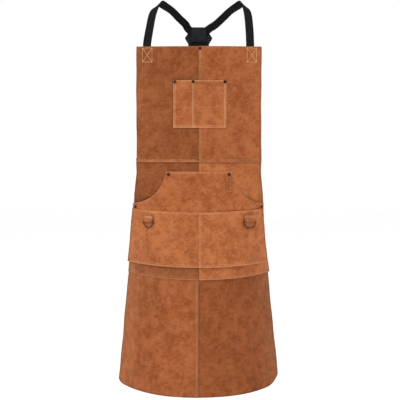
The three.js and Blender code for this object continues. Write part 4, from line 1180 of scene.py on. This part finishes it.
def side_tab_path(side):
    front, _ = side_ring_bars()
    layer = "waist_left" if side < 0 else "waist_right"
    under = layer_face(layer) - sizes().leather - TAB_CLEAR - WEBBING / 2
    drop = BIB_TOP - WAIST_LINE
    radius = SIDE_RING_WIRE / 2 + LOOP_GAP + WEBBING / 2
    path = []
    for inset in (38, 27, 16, 8):
        x = side * (half_width(drop) - inset * MM)
        path.append([*(surface(x, drop, under)), *surface_normal(x, drop)])
    path += turn_round(front, radius, 0, math.pi, side)
    path.append([side * (front[0] - radius - 1.5 * MM), front[1] - 5 * MM, WAIST_LINE, -side, 0.1, 0])
    return path


def waist_path(side):
    """From the side ring round the back to the buckle, and back along itself as a free tail."""
    _, rear = side_ring_bars()
    ring_radius = SIDE_RING_WIRE / 2 + LOOP_GAP + WEBBING / 2
    node = "buckle_socket" if side < 0 else "buckle_plug"
    low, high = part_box(node)
    bar_x = (-low.x if side < 0 else high.x) - BUCKLE_BAR / 2
    bar_radius = BUCKLE_BAR * math.sqrt(0.5) + LOOP_GAP + WEBBING / 2
    edge = waist_side()
    lift = BACK_LAYER + 0.3 * MM
    inner = BACK_DEPTH - lift / 2
    path = [[side * (rear[0] - ring_radius + 0.4 * MM), rear[1] + 9 * MM, WAIST_LINE, -side, 0, 0]]
    path += turn_round(rear, ring_radius, -math.pi, 0, side)
    around = [
        [edge[0] + 1 * MM, edge[1] - 16 * MM, 0.99, 0.08], [edge[0], edge[1], 0.985, 0.15],
        [edge[0] - 2.5 * MM, edge[1] + 15 * MM, 0.98, 0.2],
    ]
    bend = 116 * MM
    for outward, back, nx, ny in ((0.85, 0.4, 0.84, 0.53), (0.61, 0.68, 0.6, 0.8), (0.29, 0.894, 0.35, 0.94)):
        around.append([bend + (edge[0] - bend) * outward, edge[1] + (inner - edge[1]) * back, nx, ny])
    around += [[x * MM, inner, 0, 1] for x in (116, 96, 72, 50)]
    path += [[side * x, y, WAIST_LINE, side * nx, ny, 0] for x, y, nx, ny in around]
    turned = turn_round(np.array([bar_x, BACK_DEPTH]), bar_radius, -math.pi / 2, -math.pi * 1.5, side)
    path += [[x, y, z, -nx, -ny, 0] for x, y, z, nx, ny, _ in turned]
    path += [[side * x * MM, inner + lift, WAIST_LINE, 0, -1, 0] for x in (50, 72, 96, 108)]
    return path


class APRON_OT_straps(bpy.types.Operator):
    """Run the shoulder and waist straps"""

    bl_idname = "apron.straps"
    bl_label = "Straps"

    def execute(self, context):
        for side, hand in ((-1, "left"), (1, "right")):
            strap(f"webbing_shoulder_{hand}", shoulder_path(side), SHOULDER_STEP, f"shoulder_strap_{hand}")
            strap(f"webbing_tab_{hand}", side_tab_path(side), TAB_STEP, f"side_tab_{hand}")
        strap("webbing_waist_left", waist_path(-1), WAIST_STEP, "waist_strap_left")
        giving = strap("webbing_waist_right", waist_path(1), WAIST_STEP, "waist_strap_right", body=None)
        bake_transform(giving)
        return {"FINISHED"}


# ---- Metal hardware ------------------------------------------------------------------------------


def lathe(profile, segments=32):
    """Vertices and faces of a profile [(radius, height)] turned about +Z; it starts and ends on the axis."""
    vertices, faces = [], []
    for radius, height in profile[1:-1]:
        for k in range(segments):
            turn = 2 * math.pi * k / segments
            vertices.append((radius * math.cos(turn), radius * math.sin(turn), height))
    rings = len(profile) - 2
    for ring in range(rings - 1):
        for k in range(segments):
            a, b = ring * segments + k, ring * segments + (k + 1) % segments
            faces.append((a, b, b + segments, a + segments))
    vertices += [(0, 0, profile[0][1]), (0, 0, profile[-1][1])]
    start, end = len(vertices) - 2, len(vertices) - 1
    for k in range(segments):
        after = (k + 1) % segments
        faces.append((start, after, k))
        faces.append((end, (rings - 1) * segments + k, (rings - 1) * segments + after))
    return vertices, faces


def swept_wire(line, diameter, sides=14):
    """Closed round wire along a closed list of points."""
    line = [Vector(p) for p in line]
    count = len(line)
    vertices, faces = [], []
    normal = (line[count // 3] - line[0]).cross(line[2 * count // 3] - line[0]).normalized()
    for i, point in enumerate(line):
        tangent = (line[(i + 1) % count] - line[i - 1]).normalized()
        across = tangent.cross(normal)
        for k in range(sides):
            turn = 2 * math.pi * k / sides
            vertices.append(point + (across * math.cos(turn) + normal * math.sin(turn)) * diameter / 2)
    for i in range(count):
        for k in range(sides):
            a, b = i * sides + k, i * sides + (k + 1) % sides
            c, d = ((i + 1) % count) * sides + (k + 1) % sides, ((i + 1) % count) * sides + k
            faces.append((a, b, c, d))
    return vertices, faces


RIVET_RADIUS = 4.75 * MM
RIVET_DOME = 2.2 * MM
# A rim, a step and a dome: share of the radius, and share of the dome's height.
RIVET_PROFILE = (
    (0, 0.05), (0.9, 0.05), (1.0, 0.18), (1.0, 0.30), (0.97, 0.40), (0.86, 0.46),
    (0.80, 0.62), (0.62, 0.84), (0.36, 0.97), (0.12, 1.0), (0, 1.0),
)


class APRON_OT_rivets(bpy.types.Operator):
    """Set the domed rivet caps"""

    bl_idname = "apron.rivets"
    bl_label = "Rivets"

    names = ("chest_left", "chest_middle", "chest_right", "bib_top", "hand_left", "hand_right",
             "side_left", "side_right")

    def execute(self, context):
        metal = shared("aged_metal", metal_material)
        for name in self.names:
            low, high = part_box(f"rivet_cap_{name}")
            middle = (low + high) / 2
            normal = Vector(surface_normal(middle.x, BIB_TOP - middle.z))
            profile = [(share * RIVET_RADIUS, (height - 0.5) * RIVET_DOME) for share, height in RIVET_PROFILE]
            vertices, faces = lathe(profile)
            made = add_object(f"rivet_{name}", vertices, faces, [metal], 35)
            facing = normal.to_track_quat("Z", "Y").to_matrix().to_4x4()
            made.data.transform(Matrix.Translation(middle) @ facing)
            place(made, "aged_metal", f"rivet_cap_{name}")
            frame["nodes"][f"rivet_post_{name}"].data.materials[0] = metal
        return {"FINISHED"}


RING_WIRE = 4.3 * MM
RING_WIDTH = 43 * MM
RING_DEPTH = 27 * MM


def dee_line():
    """Centre line of a tool ring: a straight bar above a bow."""
    half = (RING_WIDTH - RING_WIRE) / 2
    depth = RING_DEPTH - RING_WIRE
    bow = []
    for turn in np.linspace(0, math.pi, 49):
        wide = math.copysign(abs(math.cos(turn)) ** 0.75, math.cos(turn))
        bow.append((half * wide, 0, -depth * max(0, math.sin(turn)) ** 0.8))
    return bow + [(half * share, 0, 0) for share in np.linspace(-0.8, 0.8, 13)]


def joint_named(name):
    return next(joint for joint in frame["joints"] if joint["name"] == name)


RING_SHINE = 2.6
# Width and depth against the drawn ring, and how far it slipped along its bar.
RING_FIT = {"left": (0.92, 0.84, 4.5 * MM), "right": (1.14, 0.94, -1.5 * MM)}


def ring_fit(hand):
    """Fit the drawn ring and its tab to the left or the right one."""
    wide, deep, slip = RING_FIT[hand]
    return Matrix.Translation((slip, 0, 0)) @ Matrix.Diagonal((wide, 1, deep, 1))


def ring_frame(hand):
    """Place of a tool ring's bar: +X along the bar, +Y into the pocket, +Z up."""
    joint = joint_named(f"tool_ring_{hand}_swing")
    along = -Vector(joint["axis"])
    up = Vector((0, 0, 1))
    inward = up.cross(along)
    turn = Matrix((along, inward, up)).transposed().to_4x4()
    return Matrix.Translation(Vector(joint["pos_m"])) @ turn


class APRON_OT_rings(bpy.types.Operator):
    """Hang the tool rings and the side rings"""

    bl_idname = "apron.rings"
    bl_label = "Rings"

    def execute(self, context):
        metal = shared("ring_metal", metal_material, RING_SHINE)
        for hand in ("left", "right"):
            vertices, faces = swept_wire(dee_line(), RING_WIRE)
            made = add_object(f"ring_{hand}", vertices, faces, [metal], 60)
            made.data.transform(ring_frame(hand) @ ring_fit(hand))
            place(made, "aged_metal", f"tool_ring_{hand}", body=f"tool_ring_{hand}")
            self.side_ring(hand, metal)
        return {"FINISHED"}

    def side_ring(self, hand, metal):
        side = -1 if hand == "left" else 1
        front, rear = side_ring_bars()
        middle = Vector((side * (front[0] + rear[0]) / 2, (front[1] + rear[1]) / 2, WAIST_LINE))
        along = Vector((side * (rear[0] - front[0]), rear[1] - front[1], 0)).normalized()
        half_length = (SIDE_RING_LENGTH - SIDE_RING_WIRE) / 2
        half_height = (SIDE_RING_HEIGHT - SIDE_RING_WIRE) / 2
        corner = SIDE_RING_CORNER
        line = []
        for quarter, (sx, sz) in enumerate(((1, 1), (-1, 1), (-1, -1), (1, -1))):
            for turn in np.linspace(0, math.pi / 2, 7) + quarter * math.pi / 2:
                u = sx * (half_length - corner) + corner * math.cos(turn)
                v = sz * (half_height - corner) + corner * math.sin(turn)
                line.append(middle + along * u + Vector((0, 0, v)))
        vertices, faces = swept_wire(line, SIDE_RING_WIRE)
        made = add_object(f"waist_ring_{hand}", vertices, faces, [metal], 60)
        place(made, "aged_metal", f"side_ring_{hand}")


# ---- Pieces that take the frame's shape with softer edges ----------------------------------------


SAME_POINT = 0.01 * MM
FLAT_ANGLE = math.radians(2)
SHARP_ANGLE = math.radians(25)
CREASE_ANGLE = math.radians(30)


def softened(name, node, material, width, slot, body=BODY, segments=2):
    """The frame's solid with its flat faces joined up and its edges rounded over."""
    mesh = frame["nodes"][node].data.copy()
    mesh.name = name
    made = bpy.data.objects.new(name, mesh)
    bpy.context.scene.collection.objects.link(made)
    work = bmesh.new()
    work.from_mesh(mesh)
    bmesh.ops.remove_doubles(work, verts=work.verts, dist=SAME_POINT)
    bmesh.ops.dissolve_limit(work, angle_limit=FLAT_ANGLE, verts=work.verts, edges=work.edges)
    sharp = [edge for edge in work.edges if edge.is_manifold and edge.calc_face_angle(0) > SHARP_ANGLE]
    bmesh.ops.bevel(work, geom=sharp, offset=width, segments=segments, profile=0.5, affect="EDGES",
                    clamp_overlap=True)
    work.to_mesh(mesh)
    work.free()
    mesh.materials.clear()
    mesh.materials.append(material)
    mesh.shade_smooth()
    mesh.set_sharp_from_angle(angle=CREASE_ANGLE)
    return place(made, slot, node, body=body)


class APRON_OT_ring_tabs(bpy.types.Operator):
    """Soften the frame's leather tabs and fit them to the tool rings"""

    bl_idname = "apron.ring_tabs"
    bl_label = "Ring tabs"

    def execute(self, context):
        leather, _ = hide("ring_tab")
        for hand in ("left", "right"):
            tab = softened(f"ring_tab_{hand}_leather", f"ring_tab_{hand}", leather, 0.4 * MM, "suede")
            here = ring_frame(hand)
            tab.data.transform(here @ ring_fit(hand) @ here.inverted())
        return {"FINISHED"}


class APRON_OT_back_pad(bpy.types.Operator):
    """Soften the cross-back pad and its patch over the crossing straps"""

    bl_idname = "apron.back_pad"
    bl_label = "Cross-back pad"

    def execute(self, context):
        pad = shared("pad_black", pad_material)
        cushion = softened("crossing_pad", "back_pad", pad, 0.5 * MM, "pad_black", segments=3)
        softened("crossing_patch", "back_pad_patch", pad, 0.5 * MM, "pad_black", segments=3)
        return {"FINISHED"}


class APRON_OT_buckle(bpy.types.Operator):
    """Mould the side-release buckle and the strap keepers"""

    bl_idname = "apron.buckle"
    bl_label = "Buckle"

    def execute(self, context):
        plastic = shared("black_plastic", plastic_material)
        softened("buckle_female", "buckle_socket", plastic, 0.9 * MM, "black_plastic", segments=3)
        softened("buckle_male", "buckle_plug", plastic, 0.7 * MM, "black_plastic", "plug", 3)
        for place_name in ("upper", "lower"):
            softened(f"buckle_arm_{place_name}", f"buckle_prong_{place_name}", plastic, 0.6 * MM,
                     "black_plastic", f"prong_{place_name}")
        for hand in ("left", "right"):
            softened(f"keeper_{hand}_loop", f"strap_keeper_{hand}", plastic, 0.4 * MM,
                     "black_plastic", f"keeper_{hand}")
        return {"FINISHED"}


# ---- Stage ---------------------------------------------------------------------------------------


CAMERA_DISTANCE = 3.0
CAMERA_TILT = math.radians(2.9)
CAMERA_RISE = -466 * MM
CAMERA_SIDE = 4.5 * MM
LENS = 89.2
FLOOR_GAP = 350 * MM
FLOOR_REACH = 14.0
# Place, size and power of each lamp.
LIGHTS = {"key": ((-1.8, -2.6, 1.9), 1.6, 62), "fill": ((2.4, -3.0, 0.4), 2.4, 22)}


class APRON_OT_stage(bpy.types.Operator):
    """Set the floor, the light and the camera"""

    bl_idname = "apron.stage"
    bl_label = "Stage"

    def execute(self, context):
        self.camera()
        for name, (spot, size, power) in LIGHTS.items():
            self.light(name, spot, size, power)
        self.floor()
        self.world()
        return {"FINISHED"}

    def camera(self):
        data = bpy.data.cameras.new("camera")
        data.lens = LENS
        data.clip_end = 60
        made = bpy.data.objects.new("camera", data)
        bpy.context.scene.collection.objects.link(made)
        made.location = (CAMERA_SIDE, -CHEST_DEPTH - CAMERA_DISTANCE, CAMERA_RISE)
        made.rotation_euler = (math.pi / 2 - CAMERA_TILT, 0, 0)
        bpy.context.scene.camera = made

    def light(self, name, spot, size, power):
        data = bpy.data.lights.new(name, "AREA")
        data.shape = "DISK"
        data.size = size
        data.energy = power
        made = bpy.data.objects.new(name, data)
        bpy.context.scene.collection.objects.link(made)
        made.location = spot
        aim = Vector((0, 0, BIB_TOP - APRON_LENGTH / 2)) - Vector(spot)
        made.rotation_euler = aim.to_track_quat("-Z", "Y").to_euler()

    def floor(self):
        level = BIB_TOP - APRON_LENGTH - FLOOR_GAP
        kit = Nodes("floor_white")
        where = kit.add("ShaderNodeTexCoord").outputs["Object"]
        haze = kit.noise(where, 0.8, detail=2)
        kit.link(kit.mix(haze, (0.98, 0.98, 0.98, 1), (1.0, 1.0, 1.0, 1)), "Base Color")
        kit.set(Roughness=0.9)
        corners = [(x * FLOOR_REACH, y * FLOOR_REACH, level) for x, y in ((-1, -1), (1, -1), (1, 1), (-1, 1))]
        add_object("floor", corners, [(0, 1, 2, 3)], [kit.material])

    def world(self):
        world = bpy.data.worlds.new("studio")
        world.use_nodes = True
        world.node_tree.nodes["Background"].inputs["Color"].default_value = (1, 1, 1, 1)
        world.node_tree.nodes["Background"].inputs["Strength"].default_value = 1.0
        bpy.context.scene.world = world
        bpy.context.scene.view_settings.view_transform = "Standard"


# ---- Panel and registration ----------------------------------------------------------------------


OPERATORS = (
    APRON_OT_stage, APRON_OT_panels, APRON_OT_pockets, APRON_OT_ring_tabs, APRON_OT_stitching,
    APRON_OT_straps, APRON_OT_rivets, APRON_OT_rings, APRON_OT_back_pad, APRON_OT_buckle,
)


class APRON_PT_sidebar(bpy.types.Panel):
    """Buttons for every group of pieces"""

    bl_idname = "APRON_PT_sidebar"
    bl_label = "Welding apron"
    bl_space_type = "VIEW_3D"
    bl_region_type = "UI"
    bl_category = "Apron"

    def draw(self, context):
        for group in (context.scene.apron_sizes, context.scene.apron_colours):
            for name in group.__annotations__:
                self.layout.prop(group, name)
        for operator in OPERATORS:
            self.layout.operator(operator.bl_idname)


CLASSES = (ApronSizes, ApronColours, *OPERATORS, APRON_PT_sidebar)


def register():
    for cls in CLASSES:
        bpy.utils.register_class(cls)
    bpy.types.Scene.apron_sizes = bpy.props.PointerProperty(type=ApronSizes)
    bpy.types.Scene.apron_colours = bpy.props.PointerProperty(type=ApronColours)


def unregister():
    del bpy.types.Scene.apron_colours
    del bpy.types.Scene.apron_sizes
    for cls in reversed(CLASSES):
        bpy.utils.unregister_class(cls)


def main():
    register()
    for operator in OPERATORS:
        group, name = operator.bl_idname.split(".")
        getattr(getattr(bpy.ops, group), name)()


if __name__ == "__main__":
    main()
